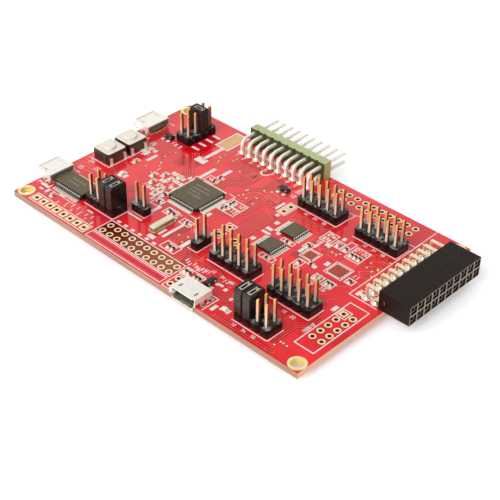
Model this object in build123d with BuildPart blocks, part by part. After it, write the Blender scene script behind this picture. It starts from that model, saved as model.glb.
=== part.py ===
"""Microcontroller development board: a printed circuit board with its connectors, switches, jumpers and chips.

Frame: the origin is the centre of the board's outline, on its underside. +X runs along the long edge towards
the socket, +Y towards the green header, +Z up through the parts. Lengths are in millimetres.
"""

import os
from math import cos, radians, sin

from build123d import *

os.makedirs("parts", exist_ok=True)

# ---------------------------------------------------------------- driving dimensions
board_length = 94.3
board_width = 59.6
board_thickness = 1.6

pitch = 2.54

mounting_edge_gap_x = 2.15
mounting_edge_gap_y = 2.3
mounting_hole_radius = 1.5
mounting_pad_radius = 2.15

pad_thickness = 0.04
pad_radius = 0.88
open_hole_radius = 0.5
plating_wall = 0.05
edge_pad_width = 2.0
edge_pad_length = 2.2
power_pad_side = 1.9

pin_side = 0.64
pin_rise = 5.95
pin_tail = 1.5
pin_point = 0.18
pin_hole_gap = 0.06
insulator_height = 2.1
insulator_notch = 0.62
insulator_hollow = 0.8
insulator_slot_width = 0.35
insulator_slot_length = 1.15
insulator_slot_depth = 0.4

solder_foot_radius = 0.85
solder_tip_radius = 0.42
solder_height = 0.9
solder_collar_height = 0.55
green_collar_radius = 1.02
socket_collar_radius = 0.95

cap_width = 2.3
cap_length = 5.0
cap_height = 6.0
cap_corner = 0.3
cap_seat_gap = 0.1
cap_end_wall = 0.4
cap_roof = 0.9
cap_slot_width = 1.24
cap_slot_length = 3.6
cap_window_length = 1.2
cap_window_height = 0.9
cap_window_drop = 1.2
cap_window_offset = 0.45
cap_bevel_drop = 0.9
cap_bevel_run = 0.4
clip_pin_gap = 0.04
clip_thickness = 0.2
clip_base_gap = 0.4
clip_top_gap = 0.15
clip_web_drop = 2.25
clip_web_length = 1.2
clip_end_gap = 0.15

button_travel = 0.25
button_radius = 1.6
button_flange = 0.25
button_gap = 0.06
switch_side = 6.0
switch_base_inset = 0.1
switch_base_height = 2.2
switch_cover_top = 3.0
switch_total_height = 3.6
switch_cover_wall = 0.25
switch_cover_corner = 0.7
switch_skirt_length = 4.4
switch_clip_width = 0.8
switch_clip_offset = 1.2
switch_clip_gap = 0.05
switch_well_floor = 1.0
switch_leg_thickness = 0.3
switch_leg_width = 0.7
switch_leg_spread = 3.25
switch_leg_row = 2.25
switch_leg_knee = 1.7
dome_sheet = 0.12
dome_rise = 0.45
button_round = 0.15

usb_width = 7.5
usb_depth = 5.5
usb_height = 2.55
usb_wall = 0.25
usb_slope_height = 1.1
usb_slope_run = 0.8
usb_lip_depth = 0.5
usb_lip_angle = 30
usb_overhang = 0.9
usb_left_overhang = 1.25
usb_window_spread = 2.44
usb_window_centre = 2.1
usb_window_length = 1.4
usb_window_width = 0.45
usb_relief_width = 1.1
usb_relief_height = 0.7
usb_tab_length = 1.2
usb_tab_width = 0.9
usb_tab_outset = 0.1
usb_tab_setback = 2.6
usb_tab_end_gap = 0.85
usb_tongue_width = 4.0
usb_tongue_thickness = 0.6
usb_tongue_height = 1.53
usb_tongue_setback = 1.0
usb_block_depth = 1.3
usb_contact_pitch = 0.65
usb_contact_width = 0.32
usb_contact_thickness = 0.14
usb_contact_setback = 1.5
usb_contact_tail = 0.5

green_depth = 2.54
green_edge_gap = 0.2
green_row_gap = 1.9
green_reach = 6.6
green_bend_upper = 2.0
green_bend_lower = 0.7

socket_depth = 8.5
socket_height = 5.0
socket_seat = 1.55
socket_row_gap = 1.6
socket_key_radius = 0.55
socket_key_depth = 0.35
socket_key_setback = 1.9
socket_mouth_side = 2.1
socket_throat_side = 1.2
socket_mouth_depth = 0.45
socket_cell_depth = 6.2
contact_thickness = 0.2
contact_width = 0.85
contact_recess = 1.1

lead_shoulder_share = 0.36
lead_knee_share = 0.52
chip_bevel = 0.15
chip_mark_depth = 0.12
mcu_side = 9.6
mcu_height = 1.2
mcu_mark_radius = 0.42
mcu_standoff = 0.08
mcu_pitch = 0.5
mcu_lead_reach = 1.15
mcu_lead_width = 0.27
mcu_lead_sheet = 0.14
bridge_length = 10.2
bridge_width = 5.3
bridge_height = 1.65
bridge_mark_radius = 0.32
bridge_standoff = 0.1
bridge_lead_reach = 1.25
bridge_lead_width = 0.3
bridge_lead_sheet = 0.17
fine_pitch = 0.65
buffer_width = 4.2
buffer_length = 4.85
buffer_height = 0.8
buffer_mark_radius = 0.24
buffer_standoff = 0.1
buffer_lead_reach = 1.0
buffer_lead_width = 0.32
buffer_lead_sheet = 0.13
transistor_length = 2.9
transistor_width = 1.35
transistor_height = 1.0
transistor_standoff = 0.1
transistor_leg_spread = 0.95
transistor_lead_reach = 0.6
transistor_lead_width = 0.4
transistor_lead_sheet = 0.14

crystal_length = 7.0
crystal_width = 1.9
crystal_height = 1.45
crystal_foot = 0.3
crystal_flange = 0.22
crystal_corner = 0.6
crystal_round = 0.3

chip_length = 1.25
chip_width = 0.68
resistor_height = 0.42
capacitor_height = 0.6
chip_end_length = 0.28
chip_end_skin = 0.03
lamp_length = 1.6
lamp_width = 1.05
lamp_height = 0.65
lamp_end_length = 0.3
lamp_bevel = 0.15

board_top = board_thickness
half_length = board_length / 2
half_width = board_width / 2
left_edge = -half_length
right_edge = half_length
front_edge = -half_width
rear_edge = half_width
half_pitch = pitch / 2


# ---------------------------------------------------------------- places on the board
def grid(first_x, first_y, columns, rows):
    """Points of a hole grid at the standard pitch, counted column by column from its front left hole."""
    return [(first_x + pitch * c, first_y + pitch * r) for c in range(columns) for r in range(rows)]


mounting_x = half_length - mounting_edge_gap_x
mounting_y = half_width - mounting_edge_gap_y
mounting_points = [(side * mounting_x, row * mounting_y) for side in (-1, 1) for row in (-1, 1)]

front_left_header = grid(7.7, -14.2, 5, 2)
front_right_header = grid(right_edge - 21.4, -14.2, 5, 2)
rear_left_header = grid(7.5, 16.05, 5, 2)
rear_right_header = grid(right_edge - 21.65, 16.05, 5, 2)
lengthwise_pair = grid(1.75, -14.25, 1, 2)
crosswise_pair = grid(-19.45, front_edge + 16.15, 2, 1)

bridge_place = (left_edge + 10.35, front_edge + 11.65)
bridge_block_gap = 0.66
left_block_x = bridge_place[0] + bridge_length / 2 + bridge_block_gap + half_pitch
front_jumper_block = grid(26.65, front_edge + 4.5, 4, 2)
left_jumper_block = grid(left_block_x, front_edge + 10.6, 4, 2)
rear_jumper_block = grid(left_edge + 11.9, 15.95, 2, 4)

green_first_x = -19.8
green_rear_face = rear_edge - green_edge_gap
green_front_face = green_rear_face - green_depth
green_rear_row = grid(green_first_x, green_front_face - green_row_gap, 10, 1)
green_front_row = grid(green_first_x, green_front_face - green_row_gap - pitch, 10, 1)

socket_first_y = rear_edge - 30.83
socket_inner_face = right_edge - socket_seat
socket_outer_row = grid(socket_inner_face - socket_row_gap, socket_first_y, 1, 10)
socket_inner_row = grid(socket_inner_face - socket_row_gap - pitch, socket_first_y, 1, 10)

front_array = grid(-18.91, front_edge + 4.55, 10, 2)
rear_array = grid(10.36, rear_edge - 5.3, 10, 2)
debug_array = grid(right_edge - 5.59, -19.02, 2, 5)
spare_array = grid(7.3, front_edge + 1.9, 5, 2)
edge_row = grid(left_edge + 6.49, front_edge + 2.16, 8, 1)
power_pair = grid(6.1, 10.5, 1, 2)
test_holes = [(1.5, -3.4), (1.5, -7.0), (6.2, -6.4), (7.85, -8.2)]

microcontroller_place = (-13.15, 0.0)
buffer_places = [(13.6, 5.85), (13.6, -2.15)]
crystal_place = (-10.15, -14.3)
front_switch_place = (left_edge + 4.9, -2.87)
rear_switch_place = (left_edge + 4.95, 4.1)
switch_places = [front_switch_place, rear_switch_place]

# centre x, centre y, turn about Z
transistor_places = [(13.5, front_edge + 8.2, 90), (0.15, 17.15, 0), (left_edge + 8.8, 14.15, 0)]
front_resistor_y = front_edge + 7.5
pair_resistor_y = front_edge + 11.2
resistor_places = [
    (6.5, front_resistor_y, 90), (7.6, front_resistor_y, 90), (9.6, front_resistor_y, 90),
    (10.7, front_resistor_y, 90), (-3.0, pair_resistor_y, 90), (-1.7, pair_resistor_y, 90),
    (-4.9, 4.6, 0), (-4.9, 3.55, 0), (-4.8, 1.9, 0), (-5.2, 0.9, 0),
    (-15.0, 10.1, 0), (-15.0, 8.0, 0), (-19.6, -4.9, 90), (-18.1, -7.8, 0),
    (-13.5, -8.75, 90), (-11.9, -9.05, 90), (-6.7, -9.3, 0), (29.1, 8.5, 90), (30.3, 8.5, 90),
    (31.5, 8.5, 90), (26.8, 9.3, 90), (19.6, 4.3, 90), (22.3, -1.9, 90), (24.9, -0.6, 0),
    (35.2, 0.7, 90), (32.0, -3.15, 90), (33.1, -3.15, 90), (15.9, -5.8, 0), (15.2, 2.0, 0),
]
capacitor_places = [
    (-10.3, -9.0, 90), (21.0, 9.2, 0), (21.0, 11.0, 0), (24.4, 9.4, 90), (28.6, -3.2, 90),
    (29.8, -3.2, 90), (-26.0, 1.2, 90), (-23.0, 1.0, 0), (-22.0, 3.0, 0), (-28.0, -0.8, 90),
    (-26.0, -3.0, 90), (-23.0, -3.0, 0), (-22.0, -6.0, 90), (left_edge + 10.35, 7.0, 0),
    (left_edge + 11.15, 0.3, 90), (left_edge + 8.3, front_edge + 5.6, 90), (-24.4, 12.9, 0),
]
lamp_places = [(22.5, front_edge + 4.0, 0), (left_edge + 13.15, -6.0, 90)]

# mouth planes of the USB sockets: local X across the mouth, local Y up, local Z out of the mouth
front_mouth_y = front_edge - usb_overhang
left_mouth_x = left_edge - usb_left_overhang
front_usb_mouth = Plane(origin=(14.05, front_mouth_y, board_top), x_dir=(1, 0, 0), z_dir=(0, -1, 0))
left_usb_mouth = Plane(origin=(left_mouth_x, front_edge + 11.9, board_top), x_dir=(0, -1, 0), z_dir=(-1, 0, 0))
rear_usb_mouth = Plane(origin=(left_mouth_x, 14.55, board_top), x_dir=(0, -1, 0), z_dir=(-1, 0, 0))
usb_mouths = [front_usb_mouth, left_usb_mouth, rear_usb_mouth]

straight_header_points = (
    front_left_header + front_right_header + rear_left_header + rear_right_header + lengthwise_pair + crosswise_pair
)
jumper_points = front_jumper_block + left_jumper_block + rear_jumper_block
green_points = green_front_row + green_rear_row
socket_points = socket_inner_row + socket_outer_row
switch_leg_points = [
    (x + side * switch_leg_spread, y + row * switch_leg_row)
    for x, y in switch_places
    for side in (-1, 1)
    for row in (-1, 1)
]
soldered_points = straight_header_points + jumper_points + green_points + socket_points + switch_leg_points
open_points = front_array + rear_array + debug_array + spare_array + edge_row + power_pair + test_holes
pin_hole_radius = pin_side / 2 * 2 ** 0.5 + pin_hole_gap

# ---------------------------------------------------------------- printed circuit board
with BuildPart() as circuit_board:
    with BuildSketch(Plane.XY):
        Rectangle(board_length, board_width)
        with Locations(*mounting_points):
            Circle(mounting_hole_radius + plating_wall, mode=Mode.SUBTRACT)
        with Locations(*open_points):
            Circle(open_hole_radius + plating_wall, mode=Mode.SUBTRACT)
        with Locations(*soldered_points):
            Circle(pin_hole_radius, mode=Mode.SUBTRACT)
    extrude(amount=board_thickness)
circuit_board.part.label = "circuit_board"
export_step(circuit_board.part, "parts/circuit_board.step")


def plated_holes(name, round_lands, square_lands, land_radius, square_size, hole_radius, masked=()):
    """Copper barrels through the board, each with a thin land on both faces, or only below where it is masked."""
    points = round_lands + square_lands + list(masked)
    with BuildPart() as plating:
        with BuildSketch(Plane.XY):
            with Locations(*points):
                Circle(hole_radius + plating_wall)
        extrude(amount=board_thickness)
        for land_base in (-pad_thickness, board_top):
            with BuildSketch(Plane.XY.offset(land_base)):
                if round_lands:
                    with Locations(*round_lands):
                        Circle(land_radius)
                if square_lands:
                    with Locations(*square_lands):
                        Rectangle(*square_size)
            extrude(amount=pad_thickness)
        if masked:
            with BuildSketch(Plane.XY.offset(-pad_thickness)):
                with Locations(*masked):
                    Circle(land_radius)
            extrude(amount=pad_thickness)
        with BuildSketch(Plane.XY.offset(-pad_thickness)):
            with Locations(*points):
                Circle(hole_radius)
        extrude(amount=board_thickness + 2 * pad_thickness, mode=Mode.SUBTRACT)
    plating.part.label = name
    export_step(plating.part, f"parts/{name}.step")


square_debug_hole = debug_array[4:5]
round_debug_holes = debug_array[:4] + debug_array[5:]
open_spare_holes = spare_array[:2]
covered_spare_holes = spare_array[2:]
round_array_points = front_array + rear_array + round_debug_holes + open_spare_holes + test_holes
plated_holes("mounting_hole_plating", mounting_points, [], mounting_pad_radius, None, mounting_hole_radius)
plated_holes(
    "hole_array_plating", round_array_points, square_debug_hole,
    pad_radius, (2 * pad_radius, 2 * pad_radius), open_hole_radius, covered_spare_holes,
)
plated_holes("edge_pad_plating", [], edge_row, None, (edge_pad_width, edge_pad_length), open_hole_radius)
plated_holes("power_pad_plating", [], power_pair, None, (power_pad_side, power_pad_side), open_hole_radius)


# ---------------------------------------------------------------- straight pin headers and jumper blocks
def header_insulator(name, *strips):
    """Moulded strips, each given as its points, columns and rows, notched and slotted between its positions."""
    with BuildPart() as insulator:
        for points, columns, rows in strips:
            centre_x = sum(p[0] for p in points) / len(points)
            centre_y = sum(p[1] for p in points) / len(points)
            length = columns * pitch
            width = rows * pitch
            cross_lines = [centre_x - length / 2 + pitch * n for n in range(columns + 1)]
            long_lines = [centre_y - width / 2 + pitch * n for n in range(rows + 1)]
            if columns >= rows:
                notches = [(x, long_lines[end]) for x in cross_lines for end in (0, -1)]
                slots = [(x, y + half_pitch) for x in cross_lines[1:-1] for y in long_lines[:-1]]
                slot_size = (insulator_slot_width, insulator_slot_length)
            else:
                notches = [(cross_lines[end], y) for y in long_lines for end in (0, -1)]
                slots = [(x + half_pitch, y) for x in cross_lines[:-1] for y in long_lines[1:-1]]
                slot_size = (insulator_slot_length, insulator_slot_width)
            with BuildSketch(Plane.XY.offset(board_top)):
                with Locations((centre_x, centre_y)):
                    Rectangle(length, width)
                with Locations(*notches):
                    Rectangle(insulator_notch, insulator_notch, rotation=45, mode=Mode.SUBTRACT)
                with Locations(*points):
                    Rectangle(pin_side, pin_side, mode=Mode.SUBTRACT)
            extrude(amount=insulator_height)
            with BuildSketch(Plane.XY.offset(board_top + insulator_height)):
                with Locations(*slots):
                    Rectangle(*slot_size)
            extrude(amount=-insulator_slot_depth, mode=Mode.SUBTRACT)
            if rows > 1 and columns > 1:
                hollows = [(x, y) for x in cross_lines[1:-1] for y in long_lines[1:-1]]
                with BuildSketch(Plane.XY.offset(board_top + insulator_height)):
                    with Locations(*hollows):
                        Rectangle(insulator_hollow, insulator_hollow)
                extrude(amount=-insulator_hollow, mode=Mode.SUBTRACT)
    insulator.part.label = name
    export_step(insulator.part, f"parts/{name}.step")


def straight_pins(name, points):
    """Square posts with pointed ends, standing through the board and its insulators."""
    with BuildPart() as pins:
        with BuildSketch(Plane.XY.offset(-pin_tail)):
            with Locations(*points):
                Rectangle(pin_side, pin_side)
        extrude(amount=pin_tail + board_top + insulator_height + pin_rise)
        chamfer(pins.edges().group_by(Axis.Z)[-1], pin_point)
        chamfer(pins.edges().group_by(Axis.Z)[0], pin_point)
    pins.part.label = name
    export_step(pins.part, f"parts/{name}.step")


header_insulator("front_left_header_insulator", (front_left_header, 5, 2))
header_insulator("front_right_header_insulator", (front_right_header, 5, 2))
header_insulator("rear_left_header_insulator", (rear_left_header, 5, 2))
header_insulator("rear_right_header_insulator", (rear_right_header, 5, 2))
header_insulator("two_pin_insulators", (lengthwise_pair, 1, 2), (crosswise_pair, 2, 1))
header_insulator("front_jumper_insulator", (front_jumper_block, 4, 2))
header_insulator("left_jumper_insulator", (left_jumper_block, 4, 2))
header_insulator("rear_jumper_insulator", (rear_jumper_block, 2, 4))
straight_pins("straight_header_pins", straight_header_points)
straight_pins("jumper_block_pins", jumper_points)

# ---------------------------------------------------------------- pull-off jumper caps
cap_base = board_top + insulator_height + cap_seat_gap
clip_inner = pin_side / 2 + clip_pin_gap
clip_outer = clip_inner + clip_thickness
cavity_length = cap_length - 2 * cap_end_wall
cap_top = cap_base + cap_height
cavity_top = cap_top - cap_roof
window_centre = cap_top - cap_window_drop


def cap_plane(place, height):
    """Work plane of a cap, with its local Y along the two pins that it bridges."""
    centre_x, centre_y, turn = place
    return Plane(Location((centre_x, centre_y, height), (0, 0, turn)))


def cap_sleeve(name, place):
    """Plastic sleeve, open below, with a slot in its roof and a window through both long walls."""
    with BuildPart() as sleeve:
        with BuildSketch(cap_plane(place, cap_base)):
            RectangleRounded(cap_width, cap_length, cap_corner)
        extrude(amount=cap_height)
        with BuildSketch(cap_plane(place, cap_base)):
            Rectangle(2 * clip_outer, cavity_length)
        extrude(amount=cap_height - cap_roof, mode=Mode.SUBTRACT)
        with BuildSketch(cap_plane(place, cavity_top)):
            Rectangle(cap_slot_width, cap_slot_length)
        extrude(amount=cap_roof, mode=Mode.SUBTRACT)
        with BuildSketch(cap_plane(place, window_centre - cap_window_height / 2)):
            with Locations((0, -cap_window_offset)):
                Rectangle(cap_width + cap_corner, cap_window_length)
        extrude(amount=cap_window_height, mode=Mode.SUBTRACT)
        # slopes at both ends of the roof, drawn from the side
        flat = cap_plane(place, cap_top)
        end = cap_length / 2
        with BuildSketch(Plane(origin=flat.origin, x_dir=flat.y_dir, z_dir=flat.x_dir)):
            Polygon((end, 0), (end - cap_bevel_run, 0), (end, -cap_bevel_drop), align=None)
            Polygon((-end, 0), (cap_bevel_run - end, 0), (-end, -cap_bevel_drop), align=None)
        extrude(amount=cap_width, both=True, mode=Mode.SUBTRACT)
    sleeve.part.label = name
    export_step(sleeve.part, f"parts/{name}.step")


def cap_clip(name, place):
    """Folded spring: a leaf on each side of the two pins, raised into the roof slot, with a web between them."""
    leaf_centre = (clip_inner + clip_outer) / 2
    leaf_bottom = cap_base + clip_base_gap
    with BuildPart() as clip:
        with BuildSketch(cap_plane(place, leaf_bottom)):
            with Locations((-leaf_centre, 0), (leaf_centre, 0)):
                Rectangle(clip_thickness, cavity_length - 2 * clip_end_gap)
        extrude(amount=cavity_top - leaf_bottom)
        with BuildSketch(cap_plane(place, cavity_top)):
            with Locations((-leaf_centre, 0), (leaf_centre, 0)):
                Rectangle(clip_thickness, cap_slot_length - 2 * clip_end_gap)
        extrude(amount=cap_roof - clip_top_gap)
        with BuildSketch(cap_plane(place, cavity_top - clip_web_drop)):
            Rectangle(2 * clip_outer, clip_web_length)
        extrude(amount=-clip_thickness)
    clip.part.label = name
    export_step(clip.part, f"parts/{name}.step")


front_rows_middle = front_jumper_block[0][1] + half_pitch
left_rows_middle = left_jumper_block[0][1] + half_pitch
rear_columns_middle = rear_jumper_block[0][0] + half_pitch
cap_places = {
    "front_cap_a": (front_jumper_block[0][0], front_rows_middle, 0),
    "front_cap_b": (front_jumper_block[2][0], front_rows_middle, 0),
    "left_cap_a": (left_jumper_block[4][0], left_rows_middle, 0),
    "left_cap_b": (left_jumper_block[6][0], left_rows_middle, 0),
    "rear_cap": (rear_columns_middle, rear_jumper_block[2][1], 90),
}
for cap_name, cap_place in cap_places.items():
    cap_sleeve(f"{cap_name}_sleeve", cap_place)
    cap_clip(f"{cap_name}_clip", cap_place)

# ---------------------------------------------------------------- green right-angle header
upper_pin_height = board_top + 1.5 * pitch
lower_pin_height = board_top + 0.5 * pitch
green_length = len(green_front_row) * pitch
green_centre_x = green_first_x + green_length / 2 - half_pitch
green_notches = [green_first_x - half_pitch + pitch * n for n in range(1, len(green_front_row))]

with BuildPart() as green_header_body:
    with BuildSketch(Plane.XY.offset(board_top)):
        with Locations((green_centre_x, (green_rear_face + green_front_face) / 2)):
            Rectangle(green_length, green_depth)
        with Locations(*[(x, y) for x in green_notches for y in (green_front_face, green_rear_face)]):
            Rectangle(insulator_notch, insulator_notch, rotation=45, mode=Mode.SUBTRACT)
    extrude(amount=2 * pitch)
    with BuildSketch(Plane.XZ.offset(-green_rear_face)):
        with Locations(*[(x, h) for x, y in green_front_row for h in (upper_pin_height, lower_pin_height)]):
            Rectangle(pin_side, pin_side)
    extrude(amount=green_depth, mode=Mode.SUBTRACT)
green_header_body.part.label = "green_header_body"
export_step(green_header_body.part, "parts/green_header_body.step")

green_runs = [(x, y, upper_pin_height, green_bend_upper) for x, y in green_front_row]
green_runs += [(x, y, lower_pin_height, green_bend_lower) for x, y in green_rear_row]
half_pin = pin_side / 2
green_tip = rear_edge + green_reach

with BuildPart() as green_header_pins:
    for hole_x, hole_y, run_height, bend_radius in green_runs:
        bend_y = hole_y + bend_radius
        bend_z = run_height - bend_radius
        outer = bend_radius + half_pin
        inner = bend_radius - half_pin
        outer_middle = (bend_y - outer * cos(radians(45)), bend_z + outer * sin(radians(45)))
        inner_middle = (bend_y - inner * cos(radians(45)), bend_z + inner * sin(radians(45)))
        with BuildSketch(Plane.YZ.offset(hole_x - half_pin)):
            with BuildLine():
                Line((hole_y - half_pin, -pin_tail), (hole_y - half_pin, bend_z))
                ThreePointArc((bend_y - outer, bend_z), outer_middle, (bend_y, bend_z + outer))
                Polyline(
                    (bend_y, run_height + half_pin),
                    (green_tip - pin_point, run_height + half_pin),
                    (green_tip, run_height + half_pin - pin_point),
                    (green_tip, run_height - half_pin + pin_point),
                    (green_tip - pin_point, run_height - half_pin),
                    (bend_y, run_height - half_pin),
                )
                ThreePointArc((bend_y, bend_z + inner), inner_middle, (bend_y - inner, bend_z))
                Line((hole_y + half_pin, bend_z), (hole_y + half_pin, -pin_tail))
                Line((hole_y + half_pin, -pin_tail), (hole_y - half_pin, -pin_tail))
            make_face()
        extrude(amount=pin_side)
green_header_pins.part.label = "green_header_pins"
export_step(green_header_pins.part, "parts/green_header_pins.step")

# ---------------------------------------------------------------- right-angle socket on the +X edge
socket_outer_face = socket_inner_face + socket_depth
socket_length = len(socket_inner_row) * pitch
socket_front_face = socket_first_y - half_pitch
upper_cell_height = board_top + socket_height / 2 + half_pitch
lower_cell_height = board_top + socket_height / 2 - half_pitch
socket_cells = [(y, h) for x, y in socket_inner_row for h in (upper_cell_height, lower_cell_height)]

with BuildPart() as side_socket_body:
    with BuildSketch(Plane.XY.offset(board_top)):
        with Locations(((socket_inner_face + socket_outer_face) / 2, socket_front_face + socket_length / 2)):
            Rectangle(socket_depth, socket_length)
    extrude(amount=socket_height)
    with BuildSketch(Plane.YZ.offset(socket_outer_face)):
        with Locations(*socket_cells):
            Rectangle(socket_throat_side, socket_throat_side)
    extrude(amount=-socket_cell_depth, mode=Mode.SUBTRACT)
    with BuildSketch(Plane.YZ.offset(socket_outer_face)):
        with Locations(*socket_cells):
            Rectangle(socket_mouth_side, socket_mouth_side)
    extrude(amount=-socket_mouth_depth, taper=20, mode=Mode.SUBTRACT)
    with BuildSketch(Plane.YZ.offset(socket_inner_face)):
        with Locations(*socket_cells):
            Rectangle(contact_width, contact_thickness)
    extrude(amount=socket_depth - socket_cell_depth, mode=Mode.SUBTRACT)
    with BuildSketch(Plane.XZ.offset(-socket_front_face)):
        with Locations((socket_inner_face + socket_key_setback, board_top + socket_height / 2)):
            Circle(socket_key_radius)
    extrude(amount=-socket_key_depth, mode=Mode.SUBTRACT)
side_socket_body.part.label = "side_socket_body"
export_step(side_socket_body.part, "parts/side_socket_body.step")

contact_runs = [(x, y, upper_cell_height) for x, y in socket_inner_row]
contact_runs += [(x, y, lower_cell_height) for x, y in socket_outer_row]
half_contact = contact_thickness / 2
contact_tip = socket_outer_face - contact_recess

with BuildPart() as side_socket_contacts:
    for hole_x, hole_y, run_height in contact_runs:
        with BuildSketch(Plane.XZ.offset(-hole_y - contact_width / 2)):
            with BuildLine():
                Polyline(
                    (hole_x - half_contact, -pin_tail),
                    (hole_x - half_contact, run_height + half_contact),
                    (contact_tip, run_height + half_contact),
                    (contact_tip, run_height - half_contact),
                    (hole_x + half_contact, run_height - half_contact),
                    (hole_x + half_contact, -pin_tail),
                    close=True,
                )
            make_face()
        extrude(amount=contact_width)
side_socket_contacts.part.label = "side_socket_contacts"
export_step(side_socket_contacts.part, "parts/side_socket_contacts.step")

# ---------------------------------------------------------------- solder of the through-hole pins
square_tails = straight_header_points + jumper_points + green_points
solder_below = [Location((x, y, -solder_height / 2), (180, 0, 0)) for x, y in soldered_points]
green_collars = [Location((x, y, board_top + solder_collar_height / 2)) for x, y in green_points]
socket_collars = [Location((x, y, board_top + solder_collar_height / 2)) for x, y in socket_points]

with BuildPart() as solder_joints:
    with BuildSketch(Plane.XY):
        with Locations(*soldered_points):
            Circle(pin_hole_radius)
    extrude(amount=board_thickness)
    with Locations(*solder_below):
        Cone(solder_foot_radius, solder_tip_radius, solder_height)
    with Locations(*green_collars):
        Cone(green_collar_radius, pin_hole_radius, solder_collar_height)
    with Locations(*socket_collars):
        Cone(socket_collar_radius, pin_hole_radius, solder_collar_height)
    with BuildSketch(Plane.XY.offset(-pin_tail)):
        with Locations(*square_tails):
            Rectangle(pin_side, pin_side)
        with Locations(*socket_points):
            Rectangle(contact_thickness, contact_width)
        with Locations(*switch_leg_points):
            Rectangle(switch_leg_thickness, switch_leg_width)
    extrude(amount=pin_tail + board_top + solder_collar_height, mode=Mode.SUBTRACT)
solder_joints.part.label = "solder_joints"
export_step(solder_joints.part, "parts/solder_joints.step")


# ---------------------------------------------------------------- leaded chips
def gull_leads(name, spots, reach, exit_height, thickness, width):
    """Bent leads: each leaves its body's wall at exit_height and lands on the board, along the spot's local X."""
    shoulder = reach * lead_shoulder_share
    knee = reach * lead_knee_share
    half = thickness / 2
    with BuildPart() as lead:
        with BuildSketch(Plane.XZ.offset(-width / 2)):
            with BuildLine():
                Polyline(
                    (0, exit_height + half),
                    (shoulder, exit_height + half),
                    (knee + half, thickness),
                    (reach, thickness),
                    (reach, 0),
                    (knee - half, 0),
                    (shoulder - thickness, exit_height - half),
                    (0, exit_height - half),
                    close=True,
                )
            make_face()
        extrude(amount=width)
    with BuildPart() as leads:
        with Locations(*spots):
            add(lead.part)
    leads.part.label = name
    export_step(leads.part, f"parts/{name}.step")


def lead_spots(place, sides, per_side, spacing, edge):
    """Where each lead leaves its chip on the given sides, as locations whose local X points outwards."""
    frame = Location((place[0], place[1], board_top))
    offsets = [(n - (per_side - 1) / 2) * spacing for n in range(per_side)]
    return [frame * Location((0, 0, 0), (0, 0, side)) * Location((edge, o, 0)) for side in sides for o in offsets]


def chip_bodies(name, spots, size, standoff, mark_radius):
    """Moulded bodies, bevelled round the top, with a shallow round mark in one corner."""
    length, width, height = size
    mark = (-length / 2 + 3 * mark_radius, -width / 2 + 3 * mark_radius, standoff + height)
    with BuildPart() as bodies:
        with Locations(*[spot * Location((0, 0, standoff + height / 2)) for spot in spots]):
            Box(length, width, height)
        chamfer(bodies.edges().group_by(Axis.Z)[-1], chip_bevel)
        if mark_radius:
            with Locations(*[spot * Location(mark) for spot in spots]):
                Cylinder(mark_radius, chip_mark_depth, mode=Mode.SUBTRACT)
    bodies.part.label = name
    export_step(bodies.part, f"parts/{name}.step")


mcu_spot = Location((microcontroller_place[0], microcontroller_place[1], board_top))
mcu_size = (mcu_side, mcu_side, mcu_height)
chip_bodies("microcontroller_body", [mcu_spot], mcu_size, mcu_standoff, mcu_mark_radius)
gull_leads(
    "microcontroller_leads",
    lead_spots(microcontroller_place, (0, 90, 180, 270), 16, mcu_pitch, mcu_side / 2),
    mcu_lead_reach, mcu_standoff + mcu_height / 2, mcu_lead_sheet, mcu_lead_width,
)

bridge_spot = Location((bridge_place[0], bridge_place[1], board_top))
bridge_size = (bridge_length, bridge_width, bridge_height)
chip_bodies("usb_bridge_body", [bridge_spot], bridge_size, bridge_standoff, bridge_mark_radius)
gull_leads(
    "usb_bridge_leads",
    lead_spots(bridge_place, (90, 270), 14, fine_pitch, bridge_width / 2),
    bridge_lead_reach, bridge_standoff + bridge_height / 2, bridge_lead_sheet, bridge_lead_width,
)

buffer_spots = [Location((x, y, board_top)) for x, y in buffer_places]
buffer_size = (buffer_width, buffer_length, buffer_height)
chip_bodies("buffer_bodies", buffer_spots, buffer_size, buffer_standoff, buffer_mark_radius)
gull_leads(
    "buffer_leads",
    [spot for place in buffer_places for spot in lead_spots(place, (0, 180), 8, fine_pitch, buffer_width / 2)],
    buffer_lead_reach, buffer_standoff + buffer_height / 2, buffer_lead_sheet, buffer_lead_width,
)

transistor_spots = [Location((x, y, board_top), (0, 0, turn)) for x, y, turn in transistor_places]
transistor_size = (transistor_length, transistor_width, transistor_height)
chip_bodies("transistor_bodies", transistor_spots, transistor_size, transistor_standoff, 0)
transistor_legs = [
    Location((0, transistor_width / 2, 0), (0, 0, 90)),
    Location((-transistor_leg_spread, -transistor_width / 2, 0), (0, 0, 270)),
    Location((transistor_leg_spread, -transistor_width / 2, 0), (0, 0, 270)),
]
gull_leads(
    "transistor_leads",
    [spot * leg for spot in transistor_spots for leg in transistor_legs],
    transistor_lead_reach, transistor_standoff + transistor_height / 2, transistor_lead_sheet, transistor_lead_width,
)

# ---------------------------------------------------------------- crystal
with BuildPart() as crystal_base:
    with BuildSketch(Plane.XY.offset(board_top)):
        with Locations(crystal_place):
            RectangleRounded(
                crystal_width + 2 * crystal_flange, crystal_length + 2 * crystal_flange, crystal_corner + crystal_flange
            )
    extrude(amount=crystal_foot)
crystal_base.part.label = "crystal_base"
export_step(crystal_base.part, "parts/crystal_base.step")

with BuildPart() as crystal_can:
    with BuildSketch(Plane.XY.offset(board_top + crystal_foot)):
        with Locations(crystal_place):
            RectangleRounded(crystal_width, crystal_length, crystal_corner)
    extrude(amount=crystal_height - crystal_foot)
    fillet(crystal_can.faces().sort_by(Axis.Z)[-1].edges(), crystal_round)
crystal_can.part.label = "crystal_can"
export_step(crystal_can.part, "parts/crystal_can.step")

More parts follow.
